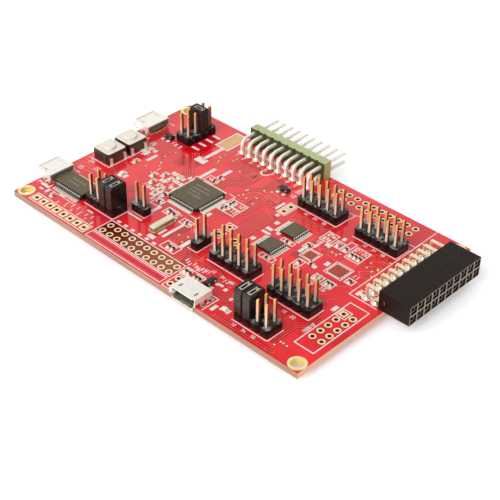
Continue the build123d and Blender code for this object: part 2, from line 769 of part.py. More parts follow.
# ---------------------------------------------------------------- small two-terminal parts
resistor_spots = [Location((x, y, board_top), (0, 0, turn)) for x, y, turn in resistor_places]
capacitor_spots = [Location((x, y, board_top), (0, 0, turn)) for x, y, turn in capacitor_places]
lamp_spots = [Location((x, y, board_top), (0, 0, turn)) for x, y, turn in lamp_places]
chip_end_shift = (chip_length - chip_end_length) / 2
lamp_end_shift = (lamp_length - lamp_end_length) / 2

with BuildPart() as resistor_bodies:
    with Locations(*[spot * Location((0, 0, resistor_height / 2)) for spot in resistor_spots]):
        Box(chip_length - 2 * chip_end_length, chip_width - 2 * chip_end_skin, resistor_height - 2 * chip_end_skin)
resistor_bodies.part.label = "resistor_bodies"
export_step(resistor_bodies.part, "parts/resistor_bodies.step")

with BuildPart() as capacitor_bodies:
    with Locations(*[spot * Location((0, 0, capacitor_height / 2)) for spot in capacitor_spots]):
        Box(chip_length - 2 * chip_end_length, chip_width - 2 * chip_end_skin, capacitor_height - 2 * chip_end_skin)
capacitor_bodies.part.label = "capacitor_bodies"
export_step(capacitor_bodies.part, "parts/capacitor_bodies.step")

resistor_ends = [
    spot * Location((side * chip_end_shift, 0, resistor_height / 2)) for spot in resistor_spots for side in (-1, 1)
]
capacitor_ends = [
    spot * Location((side * chip_end_shift, 0, capacitor_height / 2)) for spot in capacitor_spots for side in (-1, 1)
]
lamp_ends = [
    spot * Location((side * lamp_end_shift, 0, lamp_height / 4)) for spot in lamp_spots for side in (-1, 1)
]
with BuildPart() as chip_terminals:
    with Locations(*resistor_ends):
        Box(chip_end_length, chip_width, resistor_height)
    with Locations(*capacitor_ends):
        Box(chip_end_length, chip_width, capacitor_height)
    with Locations(*lamp_ends):
        Box(lamp_end_length, lamp_width, lamp_height / 2)
chip_terminals.part.label = "chip_terminals"
export_step(chip_terminals.part, "parts/chip_terminals.step")

with BuildPart() as indicator_lamps:
    with Locations(*[spot * Location((0, 0, lamp_height / 2)) for spot in lamp_spots]):
        Box(lamp_length - 2 * lamp_end_length, lamp_width, lamp_height)
    chamfer(indicator_lamps.edges().group_by(Axis.Z)[-1], lamp_bevel)
indicator_lamps.part.label = "indicator_lamps"
export_step(indicator_lamps.part, "parts/indicator_lamps.step")


# ---------------------------------------------------------------- micro USB sockets
def usb_outline(inset):
    """Corners of the shell's section, wide above and narrowed by two slopes below, drawn in by the inset."""
    side = usb_width / 2 - inset
    foot = side - usb_slope_run
    return [
        (-side, usb_height - inset), (side, usb_height - inset), (side, usb_slope_height),
        (foot, inset), (-foot, inset), (-side, usb_slope_height),
    ]


def usb_shell(name, mouth):
    """Folded sheet shell: flared lips, two slots in its roof and four tabs soldered to the board."""
    flat = Plane(origin=mouth.origin, x_dir=mouth.x_dir, z_dir=(0, 0, 1))
    throat = mouth.offset(-usb_lip_depth)
    with BuildPart() as shell:
        with BuildSketch(throat):
            Polygon(*usb_outline(0), align=None)
        extrude(amount=usb_lip_depth - usb_depth)
        with BuildSketch(throat):
            Polygon(*usb_outline(0), align=None)
        extrude(amount=usb_lip_depth, taper=-usb_lip_angle)
        with BuildSketch(throat):
            Polygon(*usb_outline(usb_wall), align=None)
        extrude(amount=usb_lip_depth - usb_depth, mode=Mode.SUBTRACT)
        with BuildSketch(throat):
            Polygon(*usb_outline(usb_wall), align=None)
        extrude(amount=usb_lip_depth, taper=-usb_lip_angle, mode=Mode.SUBTRACT)
        # relief notches where the lips part at the corners
        with BuildSketch(throat):
            with Locations(*[(s * usb_width / 2, h) for s in (-1, 1) for h in (usb_height, usb_slope_height / 2)]):
                Rectangle(usb_relief_width, usb_relief_height)
        extrude(amount=usb_lip_depth, mode=Mode.SUBTRACT)
        # two slots in the roof, in line with the plug's latches
        with BuildSketch(flat.offset(usb_height)):
            with Locations((-usb_window_spread, usb_window_centre), (usb_window_spread, usb_window_centre)):
                Rectangle(usb_window_width, usb_window_length)
        extrude(amount=-usb_wall, mode=Mode.SUBTRACT)
        # folded tabs on both sides
        tab_rows = (usb_tab_setback, usb_depth - usb_tab_end_gap)
        with BuildSketch(flat):
            with Locations(*[(s * (usb_width / 2 + usb_tab_outset), d) for s in (-1, 1) for d in tab_rows]):
                Rectangle(usb_tab_length, usb_tab_width)
        extrude(amount=usb_wall)
        with BuildSketch(flat):
            with Locations(*[(s * (usb_width / 2 - usb_wall / 2), d) for s in (-1, 1) for d in tab_rows]):
                Rectangle(usb_wall, usb_tab_width)
        extrude(amount=usb_slope_height + usb_wall)
    shell.part.label = name
    export_step(shell.part, f"parts/{name}.step")


usb_shell("front_usb_shell", front_usb_mouth)
usb_shell("left_usb_shell", left_usb_mouth)
usb_shell("rear_usb_shell", rear_usb_mouth)

usb_contact_height = usb_tongue_height - usb_tongue_thickness / 2 - usb_contact_thickness / 2

with BuildPart() as usb_tongues:
    for mouth in usb_mouths:
        with BuildSketch(mouth.offset(-usb_depth)):
            Polygon(*usb_outline(usb_wall), align=None)
        extrude(amount=usb_block_depth)
        with BuildSketch(mouth.offset(-usb_depth + usb_block_depth)):
            with Locations((0, usb_tongue_height)):
                Rectangle(usb_tongue_width, usb_tongue_thickness)
        extrude(amount=usb_depth - usb_block_depth - usb_tongue_setback)
usb_tongues.part.label = "usb_tongues"
export_step(usb_tongues.part, "parts/usb_tongues.step")

with BuildPart() as usb_contacts:
    for mouth in usb_mouths:
        across = [(n - 2) * usb_contact_pitch for n in range(5)]
        with BuildSketch(mouth.offset(-usb_depth + usb_block_depth)):
            with Locations(*[(x, usb_contact_height) for x in across]):
                Rectangle(usb_contact_width, usb_contact_thickness)
        extrude(amount=usb_depth - usb_block_depth - usb_contact_setback)
        with BuildSketch(mouth.offset(-usb_depth)):
            with Locations(*[(x, usb_slope_height / 2) for x in across]):
                Rectangle(usb_contact_width, usb_slope_height)
        extrude(amount=-usb_contact_thickness)
        with BuildSketch(mouth.offset(-usb_depth - usb_contact_thickness)):
            with Locations(*[(x, usb_contact_thickness / 2) for x in across]):
                Rectangle(usb_contact_width, usb_contact_thickness)
        extrude(amount=-usb_contact_tail)
usb_contacts.part.label = "usb_contacts"
export_step(usb_contacts.part, "parts/usb_contacts.step")

# ---------------------------------------------------------------- push-button switches
flange_radius = button_radius + button_flange
well_radius = flange_radius + button_gap
cover_underside = switch_cover_top - switch_cover_wall
dome_crown = switch_well_floor + dome_sheet + dome_rise
base_side = switch_side - 2 * switch_base_inset


def switch_base(name, place):
    """Moulded base with a round well for the snap dome, and pockets that hold the leg ends."""
    with BuildPart() as base:
        with BuildSketch(Plane.XY.offset(board_top)):
            with Locations(place):
                Rectangle(base_side, base_side)
        extrude(amount=cover_underside)
        with BuildSketch(Plane.XY.offset(board_top + switch_well_floor)):
            with Locations(place):
                Circle(well_radius)
        extrude(amount=cover_underside - switch_well_floor, mode=Mode.SUBTRACT)
        pockets = [
            (place[0] + side * base_side / 2, place[1] + row * switch_leg_row) for side in (-1, 1) for row in (-1, 1)
        ]
        with BuildSketch(Plane.XY.offset(board_top + switch_leg_knee - switch_leg_thickness)):
            with Locations(*pockets):
                Rectangle(2 * switch_leg_thickness, switch_leg_width)
        extrude(amount=switch_leg_thickness, mode=Mode.SUBTRACT)
    base.part.label = name
    export_step(base.part, f"parts/{name}.step")


def switch_cover(name, place):
    """Pressed plate with a hole for the button, four short skirts round the base and two clips down its sides."""
    with BuildPart() as cover:
        with BuildSketch(Plane.XY.offset(board_top + switch_cover_top)):
            with Locations(place):
                RectangleRounded(switch_side, switch_side, switch_cover_corner)
                Circle(button_radius + button_gap, mode=Mode.SUBTRACT)
        extrude(amount=-switch_cover_wall)
        with BuildSketch(Plane.XY.offset(board_top + cover_underside)):
            with Locations(place):
                Rectangle(switch_skirt_length, switch_side)
                Rectangle(switch_side, switch_skirt_length)
                Rectangle(base_side, base_side, mode=Mode.SUBTRACT)
        extrude(amount=switch_base_height - cover_underside)
        with BuildSketch(Plane.XY.offset(board_top + cover_underside)):
            with Locations((place[0] + switch_clip_offset, place[1])):
                Rectangle(switch_clip_width, switch_side)
            with Locations(place):
                Rectangle(base_side, base_side, mode=Mode.SUBTRACT)
        extrude(amount=switch_clip_gap - cover_underside)
    cover.part.label = name
    export_step(cover.part, f"parts/{name}.step")


def switch_button(name, place):
    """Round button on a wider flange that the cover keeps in the well."""
    flange_bottom = dome_crown + button_gap + button_travel
    with BuildPart() as button:
        with BuildSketch(Plane.XY.offset(board_top + flange_bottom)):
            with Locations(place):
                Circle(flange_radius)
        extrude(amount=cover_underside - button_gap - flange_bottom)
        with BuildSketch(Plane.XY.offset(board_top + flange_bottom)):
            with Locations(place):
                Circle(button_radius)
        extrude(amount=switch_total_height - flange_bottom)
        fillet(button.edges().group_by(Axis.Z)[-1], button_round)
    button.part.label = name
    export_step(button.part, f"parts/{name}.step")


switch_base("front_switch_base", front_switch_place)
switch_cover("front_switch_cover", front_switch_place)
switch_button("front_switch_button", front_switch_place)
switch_base("rear_switch_base", rear_switch_place)
switch_cover("rear_switch_cover", rear_switch_place)
switch_button("rear_switch_button", rear_switch_place)

with BuildPart() as switch_domes:
    for place_x, place_y in switch_places:
        with BuildSketch(Plane.XY.offset(board_top + switch_well_floor)):
            with Locations((place_x, place_y)):
                Circle(button_radius)
        extrude(amount=dome_sheet)
        with Locations((place_x, place_y, board_top + switch_well_floor + dome_sheet + dome_rise / 2)):
            Cone(button_radius, button_radius / 3, dome_rise)
switch_domes.part.label = "switch_domes"
export_step(switch_domes.part, "parts/switch_domes.step")

with BuildPart() as switch_legs:
    with BuildSketch(Plane.XY.offset(-pin_tail)):
        with Locations(*switch_leg_points):
            Rectangle(switch_leg_thickness, switch_leg_width)
    extrude(amount=pin_tail + board_top + switch_leg_knee)
    for place_x, place_y in switch_places:
        for side in (-1, 1):
            inner_x = place_x + side * (base_side / 2 - switch_leg_thickness)
            outer_x = place_x + side * switch_leg_spread
            with BuildSketch(Plane.XY.offset(board_top + switch_leg_knee)):
                with Locations(*[((inner_x + outer_x) / 2, place_y + row * switch_leg_row) for row in (-1, 1)]):
                    Rectangle(abs(outer_x - inner_x), switch_leg_width)
            extrude(amount=-switch_leg_thickness)
switch_legs.part.label = "switch_legs"
export_step(switch_legs.part, "parts/switch_legs.step")
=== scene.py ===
"""Looks of the microcontroller development board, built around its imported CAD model.

Blender lengths are metres. Places on the board are written in millimetres in the model's own frame and
multiplied by MM. The origin is the centre of the board, on its underside.
"""

import math
import random

import bpy
from mathutils import Matrix, Vector


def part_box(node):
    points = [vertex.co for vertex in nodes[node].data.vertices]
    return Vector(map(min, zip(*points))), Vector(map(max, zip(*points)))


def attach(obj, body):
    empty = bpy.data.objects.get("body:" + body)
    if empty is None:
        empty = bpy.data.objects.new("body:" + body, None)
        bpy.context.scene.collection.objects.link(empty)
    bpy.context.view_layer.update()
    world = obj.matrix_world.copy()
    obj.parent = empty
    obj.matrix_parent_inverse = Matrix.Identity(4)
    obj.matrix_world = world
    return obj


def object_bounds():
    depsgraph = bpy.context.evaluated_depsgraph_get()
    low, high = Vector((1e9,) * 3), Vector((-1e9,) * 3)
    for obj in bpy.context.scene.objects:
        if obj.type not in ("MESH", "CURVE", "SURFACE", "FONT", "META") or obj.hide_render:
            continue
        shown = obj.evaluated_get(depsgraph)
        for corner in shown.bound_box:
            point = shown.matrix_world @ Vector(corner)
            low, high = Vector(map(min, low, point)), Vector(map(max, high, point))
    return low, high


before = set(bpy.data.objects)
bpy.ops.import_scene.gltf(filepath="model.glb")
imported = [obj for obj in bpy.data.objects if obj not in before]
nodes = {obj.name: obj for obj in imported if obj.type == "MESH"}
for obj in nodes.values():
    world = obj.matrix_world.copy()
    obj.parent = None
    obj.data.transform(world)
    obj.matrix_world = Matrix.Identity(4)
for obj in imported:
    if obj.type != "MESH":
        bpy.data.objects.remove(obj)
cad_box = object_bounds()

MM = 0.001
PITCH = 2.54
BOARD_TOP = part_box("circuit_board")[1].z / MM

# ------------------------------------------------------------------ node materials
SPREAD = (0.3, 0.7)  # part of a noise over which a finish goes from its dark tone to its light one
GLOSS_SHARE = 0.45  # features of the gloss per feature of the tone
GRAIN_SHARE = 4.0  # features of the relief per feature of the tone
PLAIN_RELIEF = 0.15
MOULDED_DEPTH = 0.00004  # metres
PLATED_DEPTH = 0.00003
MASK_GLOSS = (0.07, 0.17)  # ranges of roughness
METAL_GLOSS = (0.24, 0.4)


def new_material(name):
    """An empty node material, with its tree, shader and texture coordinates."""
    material = bpy.data.materials.new(name)
    material.use_nodes = True
    tree = material.node_tree
    tree.nodes.clear()
    output = tree.nodes.new("ShaderNodeOutputMaterial")
    shader = tree.nodes.new("ShaderNodeBsdfPrincipled")
    coords = tree.nodes.new("ShaderNodeTexCoord")
    tree.links.new(shader.outputs["BSDF"], output.inputs["Surface"])
    return material, tree, shader, coords


def noise(tree, coords, scale, detail=3.0, rough=0.55, stretch=None):
    """Noise over the object, scale in features per metre; stretch multiplies the scale along each axis."""
    node = tree.nodes.new("ShaderNodeTexNoise")
    node.inputs["Scale"].default_value = scale
    node.inputs["Detail"].default_value = detail
    node.inputs["Roughness"].default_value = rough
    place = coords.outputs["Object"]
    if stretch:
        mapping = tree.nodes.new("ShaderNodeMapping")
        mapping.inputs["Scale"].default_value = stretch
        tree.links.new(place, mapping.inputs["Vector"])
        place = mapping.outputs["Vector"]
    tree.links.new(place, node.inputs["Vector"])
    return node.outputs["Fac"]


def ramp(tree, source, stops):
    """Colour from a ramp of (position, colour) stops."""
    node = tree.nodes.new("ShaderNodeValToRGB")
    elements = node.color_ramp.elements
    while len(elements) < len(stops):
        elements.new(0.5)
    for element, (position, colour) in zip(elements, stops):
        element.position = position
        element.color = (*colour, 1.0)
    tree.links.new(source, node.inputs["Fac"])
    return node.outputs["Color"]


def tones(tree, source, pair, spread=SPREAD):
    """Colour that goes from a dark tone to a light one while the source goes through the spread."""
    return ramp(tree, source, list(zip(spread, pair)))


def remap(tree, source, to, start=(0.0, 1.0)):
    """A value moved from the range start to the range to."""
    node = tree.nodes.new("ShaderNodeMapRange")
    for name, value in zip(("From Min", "From Max", "To Min", "To Max"), (*start, *to)):
        node.inputs[name].default_value = value
    tree.links.new(source, node.inputs["Value"])
    return node.outputs["Result"]


def calculate(tree, operation, *values):
    """Result of a Math node; each value is a socket or a number."""
    node = tree.nodes.new("ShaderNodeMath")
    node.operation = operation
    for slot, value in enumerate(values):
        if isinstance(value, float):
            node.inputs[slot].default_value = value
        else:
            tree.links.new(value, node.inputs[slot])
    return node.outputs[0]


def mix(tree, share, first, second):
    """Colour of the first source where share is 0 and of the second where it is 1."""
    node = tree.nodes.new("ShaderNodeMix")
    node.data_type = "RGBA"
    tree.links.new(share, node.inputs["Factor"])
    tree.links.new(first, node.inputs["A"])
    tree.links.new(second, node.inputs["B"])
    return node.outputs["Result"]


def along(tree, coords, space, axis):
    """One axis of the coordinates called space."""
    parts = tree.nodes.new("ShaderNodeSeparateXYZ")
    tree.links.new(coords.outputs[space], parts.inputs["Vector"])
    return parts.outputs[axis]


def facing(tree, coords, axis, threshold=0.5, both=False):
    """1 where the surface faces along an axis of the object, 0 elsewhere; both takes in the faces behind."""
    value = along(tree, coords, "Normal", axis)
    if both:
        value = calculate(tree, "ABSOLUTE", value)
    return calculate(tree, "GREATER_THAN", value, threshold)


def bump(tree, shader, source, strength, distance):
    """Surface relief from a texture value; distance in metres."""
    node = tree.nodes.new("ShaderNodeBump")
    node.inputs["Strength"].default_value = strength
    node.inputs["Distance"].default_value = distance
    tree.links.new(source, node.inputs["Height"])
    tree.links.new(node.outputs["Normal"], shader.inputs["Normal"])


def settle(tree, shader, colour, gloss, rough, metallic=0.0, specular=0.5):
    """Sets a shader's colour, and a roughness that goes through the range rough as gloss goes from 0 to 1."""
    tree.links.new(colour, shader.inputs["Base Color"])
    tree.links.new(remap(tree, gloss, rough), shader.inputs["Roughness"])
    shader.inputs["Metallic"].default_value = metallic
    shader.inputs["Specular IOR Level"].default_value = specular


def mould(tree, shader, coords, colour, rough, scale, relief, metallic, specular):
    """Sets a moulded surface: a colour, uneven gloss and a fine grain."""
    gloss = noise(tree, coords, scale * GLOSS_SHARE, detail=2.0)
    settle(tree, shader, colour, gloss, rough, metallic, specular)
    bump(tree, shader, noise(tree, coords, scale * GRAIN_SHARE, detail=4.0, rough=0.7), relief, MOULDED_DEPTH)


def plain_finish(name, dark, light, rough, metallic=0.0, scale=900.0, specular=0.5):
    """A moulded or coated finish of two close tones."""
    material, tree, shader, coords = new_material(name)
    colour = tones(tree, noise(tree, coords, scale), (dark, light))
    mould(tree, shader, coords, colour, rough, scale, PLAIN_RELIEF, metallic, specular)
    return material


def painted_facing_finish(
    name, side, face, axis, rough, scale=900.0, relief=0.2, specular=0.5, metallic=0.0, spread=SPREAD,
    end=None, end_from=0.0, top=None, both=False,
):
    """A moulded finish with painted light and shade: its faces along one axis have other tones; each tone is
    (dark, light).

    both takes in the faces along the axis backwards too. end gives the painted tones of the faces towards +X
    that lie beyond end_from, in metres, and top the painted tones of the faces that look up.
    """
    material, tree, shader, coords = new_material(name)
    tone = noise(tree, coords, scale)
    faces = facing(tree, coords, axis, both=both)
    colour = mix(tree, faces, tones(tree, tone, side), tones(tree, tone, face, spread))
    if top:
        colour = mix(tree, facing(tree, coords, "Z"), colour, tones(tree, tone, top))
    if end:
        beyond = calculate(tree, "GREATER_THAN", along(tree, coords, "Object", "X"), end_from)
        at_end = calculate(tree, "MULTIPLY", beyond, facing(tree, coords, "X"))
        colour = mix(tree, at_end, colour, tones(tree, tone, end))
    mould(tree, shader, coords, colour, rough, scale, relief, metallic, specular)
    return material


def graded_finish(name, stops, low, high, rough, scale=700.0, mottle=0.25, specular=0.35):
    """A finish whose colour runs along the object's X axis from low to high, in metres, mottled by noise."""
    material, tree, shader, coords = new_material(name)
    tone = noise(tree, coords, scale)
    run = remap(tree, along(tree, coords, "Object", "X"), to=(0.0, 1.0), start=(low, high))
    colour = ramp(tree, calculate(tree, "MULTIPLY_ADD", tone, mottle, run), stops)
    settle(tree, shader, colour, tone, rough, specular=specular)
    return material


def board_finish(name, mask, shaded_front_rim, lit_side_rim):
    """Glossy solder mask on the faces, bare laminate on the cut edges, in painted shade on ±Y and painted
    light on ±X; each tone is (dark, light).
    """
    material, tree, shader, coords = new_material(name)
    face = tones(tree, noise(tree, coords, 75.0, detail=4.0, rough=0.6), mask, spread=(0.36, 0.62))
    # the layers of glass fibre show as fine lines along the cut edge
    layers = noise(tree, coords, 1.0, detail=4.0, rough=0.5, stretch=(60.0, 60.0, 5200.0))
    sideways = facing(tree, coords, "X", both=True)
    edge = mix(tree, sideways, tones(tree, layers, shaded_front_rim), tones(tree, layers, lit_side_rim))
    colour = mix(tree, facing(tree, coords, "Z", both=True), edge, face)
    settle(tree, shader, colour, noise(tree, coords, 600.0), MASK_GLOSS, specular=0.62)
    # the glass weave prints through as a faint grid of waves
    waves = []
    for axis in ("X", "Y"):
        wave = tree.nodes.new("ShaderNodeTexWave")
        wave.bands_direction = axis
        wave.inputs["Scale"].default_value = 420.0
        tree.links.new(coords.outputs["Object"], wave.inputs["Vector"])
        waves.append(wave.outputs["Fac"])
    bump(tree, shader, calculate(tree, "ADD", *waves), strength=0.05, distance=0.00002)
    return material


def pin_finish(name, low_tone, high_tone, shade, low, high, rough):
    """Gilded pins: cream below low, deeper gold above high, both in metres, and painted shade on the +X side.
    """
    material, tree, shader, coords = new_material(name)
    grain = noise(tree, coords, 1500.0, detail=2.0, rough=0.5, stretch=(1.0, 1.0, 0.12))
    height = remap(tree, along(tree, coords, "Object", "Z"), to=(0.0, 1.0), start=(low, high))
    lit = mix(tree, height, tones(tree, grain, low_tone), tones(tree, grain, high_tone))
    colour = mix(tree, facing(tree, coords, "X"), lit, tones(tree, grain, shade))
    settle(tree, shader, colour, grain, rough, metallic=0.25)
    bump(tree, shader, grain, strength=0.1, distance=PLATED_DEPTH)
    return material


def lead_finish(name, top, shaded_drop, flank, rough):
    """Tinned leads: painted highlight on the flats, painted shade on the slopes down from the shoulder, paler
    flanks; each is (dark, light).
    """
    material, tree, shader, coords = new_material(name)
    tone = noise(tree, coords, 1500.0)
    slopes = facing(tree, coords, "Z", threshold=0.05)
    flats = facing(tree, coords, "Z", threshold=0.85)
    colour = mix(tree, slopes, tones(tree, tone, flank), tones(tree, tone, shaded_drop))
    settle(tree, shader, mix(tree, flats, colour, tones(tree, tone, top)), tone, rough)
    return material


def metal_finish(name, dark, light, rough, metallic, scale=1500.0, relief=0.1, low=None, low_below=0.0):
    """Plated metal; low gives the painted shade of the faces that look up from below a height, in metres."""
    material, tree, shader, coords = new_material(name)
    grain = noise(tree, coords, scale, rough=0.5)
    colour = tones(tree, grain, (dark, light))
    if low:
        under = calculate(tree, "LESS_THAN", along(tree, coords, "Object", "Z"), low_below)
        inside = calculate(tree, "MULTIPLY", under, facing(tree, coords, "Z"))
        colour = mix(tree, inside, colour, tones(tree, grain, low))
    settle(tree, shader, colour, grain, rough, metallic)
    bump(tree, shader, grain, relief, PLATED_DEPTH)
    return material


finish = {
    # the cut edges are laminate, painted darker as shade where they face ±Y and lighter as light where they
    # face ±X
    "mask": board_finish(
        "red_mask", ((0.70, 0.012, 0.022), (0.92, 0.025, 0.035)),
        ((0.25, 0.125, 0.072), (0.50, 0.29, 0.19)), ((0.86, 0.42, 0.23), (0.96, 0.56, 0.34)),
    ),
    "trace": plain_finish(
        "red_mask_over_copper", (0.96, 0.070, 0.066), (1.0, 0.105, 0.095), MASK_GLOSS, scale=700.0,
    ),
    # darker patches of mask
    "dark_patch": plain_finish(
        "darker_red_mask", (0.44, 0.022, 0.022), (0.60, 0.036, 0.034), MASK_GLOSS, scale=300.0,
    ),
    "gap": plain_finish(
        "red_mask_between_tracks", (0.38, 0.010, 0.012), (0.50, 0.018, 0.020), MASK_GLOSS, scale=500.0,
    ),
    # painted shadow that a header casts on the board
    "deep": plain_finish(
        "painted_shadow_red_mask", (0.62, 0.002, 0.008), (0.74, 0.004, 0.012), (0.2, 0.3), specular=0.15,
    ),
    "crimson": plain_finish(
        "crimson_mask", (0.62, 0.010, 0.036), (0.78, 0.022, 0.066), (0.1, 0.2), specular=0.4,
    ),
    "tan": plain_finish("tan_pad", (0.76, 0.42, 0.18), (0.92, 0.56, 0.27), (0.3, 0.45), metallic=0.2),
    "faded": plain_finish("faded_chip_print", (0.16, 0.13, 0.08), (0.30, 0.26, 0.19), (0.5, 0.65)),
    "bare": graded_finish(
        "brown_mask",
        [(0.12, (0.11, 0.002, 0.002)), (0.45, (0.20, 0.022, 0.008)), (1.0, (0.32, 0.095, 0.034))],
        -0.020, 0.005, (0.1, 0.22),
    ),
    # painted shade under and between the leads of chips and the tails of the edge socket
    "lead_shade": plain_finish(
        "painted_lead_shade", (0.020, 0.004, 0.003), (0.050, 0.010, 0.008), (0.4, 0.6), specular=0.1,
    ),
    "silk": plain_finish("white_print", (0.86, 0.74, 0.71), (0.95, 0.86, 0.83), (0.45, 0.65), scale=1500.0),
    # gold plating: gold flats, with the bore walls and outer edges painted dark brown, a painted shade
    "gold": painted_facing_finish(
        "gold_plating", ((0.10, 0.035, 0.012), (0.26, 0.11, 0.04)), ((0.97, 0.74, 0.40), (1.0, 0.90, 0.60)),
        "Z", (0.22, 0.4), metallic=0.1, both=True,
    ),
    # mounting hole plating: its bore wall and outer edge painted a deeper bright gold, a painted light on the
    # lit wall
    "rim_gold": painted_facing_finish(
        "bright_rim_gold", ((0.74, 0.60, 0.18), (0.90, 0.76, 0.30)), ((0.93, 0.82, 0.36), (1.0, 0.95, 0.54)),
        "Z", (0.22, 0.4), metallic=0.3,
    ),
    # gilded pins; the third pair of tones is the painted shade on their +X sides
    "pin": pin_finish(
        "gilded_pins", ((0.80, 0.66, 0.54), (0.98, 0.86, 0.74)), ((0.96, 0.42, 0.11), (1.0, 0.58, 0.23)),
        ((0.09, 0.025, 0.010), (0.24, 0.07, 0.02)), 0.0050, 0.0083, (0.2, 0.34),
    ),
    "tin": metal_finish("tin_plating", (0.84, 0.79, 0.70), (0.96, 0.92, 0.85), METAL_GLOSS, metallic=0.45),
    # one tin painted three ways: a painted highlight on the flats, a near-black painted shade on the slopes,
    # paler flanks
    "leads": lead_finish(
        "tinned_leads", ((0.95, 0.93, 0.87), (1.0, 1.0, 0.97)),
        ((0.010, 0.008, 0.006), (0.030, 0.024, 0.018)), ((0.55, 0.50, 0.42), (0.80, 0.75, 0.66)), METAL_GLOSS,
    ),
    "green_pin": metal_finish(
        "pale_header_pins", (0.90, 0.86, 0.74), (1.0, 0.97, 0.88), METAL_GLOSS, metallic=0.15,
    ),
    "contact": metal_finish(
        "gilded_contacts", (0.90, 0.70, 0.42), (1.0, 0.90, 0.66), METAL_GLOSS, metallic=0.2,
    ),
    "solder": metal_finish(
        "solder", (0.80, 0.71, 0.63), (0.95, 0.88, 0.80), (0.16, 0.32), scale=1100.0, relief=0.3,
        metallic=0.6,
    ),
    "paste": metal_finish(
        "reflowed_pads", (0.90, 0.78, 0.62), (1.0, 0.92, 0.80), (0.3, 0.5), scale=1300.0, relief=0.25,
        metallic=0.05,
    ),
    # black insulator plastic: near-black sides, the tops mottled up to pale grey, painted glints
    "black": painted_facing_finish(
        "black_header_plastic", ((0.005, 0.002, 0.002), (0.012, 0.005, 0.005)),
        ((0.012, 0.011, 0.010), (0.30, 0.30, 0.29)), "Z", (0.16, 0.3), scale=520.0, specular=0.28,
        spread=(0.46, 0.68),
    ),
    # jumper cap plastic: lighter grey-brown sides, with the faces towards +X and the tops painted near black,
    # painted light and shade
    "cap": painted_facing_finish(
        "black_cap_plastic", ((0.020, 0.014, 0.012), (0.048, 0.036, 0.031)),
        ((0.003, 0.002, 0.002), (0.009, 0.006, 0.006)), "X", (0.22, 0.36), specular=0.32,
        top=((0.004, 0.003, 0.003), (0.012, 0.009, 0.009)),
    ),
    # edge socket plastic: black, its faces towards +X painted beige, a painted light
    "socket": painted_facing_finish(
        "black_socket_plastic", ((0.008, 0.003, 0.002), (0.019, 0.010, 0.007)),
        ((0.26, 0.22, 0.17), (0.46, 0.39, 0.31)), "X", (0.36, 0.5), specular=0.16,
    ),
    # green header plastic: dark green sides, the top painted pale and the +X end painted olive, painted light
    "green": painted_facing_finish(
        "green_plastic", ((0.035, 0.050, 0.012), (0.075, 0.105, 0.028)),
        ((0.40, 0.45, 0.20), (0.54, 0.60, 0.32)), "Z", (0.4, 0.55),
        end=((0.40, 0.37, 0.13), (0.54, 0.50, 0.22)), end_from=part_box("green_header_body")[1].x - 0.0003,
    ),
    # chip resin: near black, the tops painted olive brown, a painted light
    "resin": painted_facing_finish(
        "chip_resin", ((0.005, 0.005, 0.004), (0.010, 0.009, 0.008)),
        ((0.100, 0.072, 0.036), (0.145, 0.108, 0.062)), "Z", (0.42, 0.6), scale=2600.0, relief=0.5,
    ),
    "dark_resin": plain_finish(
        "small_part_resin", (0.008, 0.007, 0.007), (0.024, 0.021, 0.020), (0.3, 0.45), scale=2600.0,
    ),
    # crystal can: cream top, the sides painted olive brown, a painted shade
    "crystal": painted_facing_finish(
        "crystal_can", ((0.30, 0.19, 0.085), (0.46, 0.31, 0.15)), ((0.78, 0.70, 0.50), (0.92, 0.86, 0.68)),
        "Z", (0.2, 0.34), metallic=0.4,
    ),
    "resistor": plain_finish("resistor_glaze", (0.010, 0.008, 0.010), (0.024, 0.018, 0.020), (0.2, 0.34)),
    "capacitor": plain_finish("capacitor_ceramic", (0.58, 0.40, 0.28), (0.76, 0.58, 0.44), (0.35, 0.5)),
    "lamp": plain_finish("lamp_resin", (0.86, 0.80, 0.74), (0.95, 0.92, 0.88), (0.15, 0.3)),
    # USB shells; the up-facing faces low inside the shell are painted dark grey-green, a painted shade
    "nickel": metal_finish(
        "nickel_shell", (0.94, 0.91, 0.84), (1.0, 0.98, 0.93), METAL_GLOSS, scale=700.0, metallic=0.45,
        low=((0.10, 0.11, 0.075), (0.26, 0.27, 0.19)), low_below=0.0023,
    ),
    # clip springs: the tops painted near white as glints, the sides dark, painted highlight and painted shade
    "clip": painted_facing_finish(
        "clip_spring", ((0.04, 0.035, 0.03), (0.16, 0.14, 0.12)), ((0.90, 0.88, 0.84), (1.0, 0.99, 0.97)),
        "Z", (0.2, 0.34), scale=1900.0, metallic=0.3,
    ),
    "tongue": plain_finish("grey_tongue", (0.10, 0.11, 0.09), (0.18, 0.19, 0.15), (0.4, 0.55)),
    # switch bases: black plastic, the faces towards +X painted brown, a painted light
    "switch": painted_facing_finish(
        "switch_base_plastic", ((0.012, 0.008, 0.010), (0.022, 0.015, 0.017)),
        ((0.07, 0.03, 0.015), (0.12, 0.05, 0.03)), "X", (0.3, 0.45),
    ),
    # switch covers: cream tops, the sides painted dark brown, a painted shade
    "cover": painted_facing_finish(
        "switch_cover", ((0.045, 0.026, 0.016), (0.11, 0.070, 0.045)),
        ((0.82, 0.75, 0.66), (0.93, 0.88, 0.80)), "Z", (0.34, 0.5), metallic=0.2,
    ),
    "button": plain_finish("cream_button", (0.84, 0.75, 0.66), (0.93, 0.86, 0.78), (0.3, 0.45)),
}

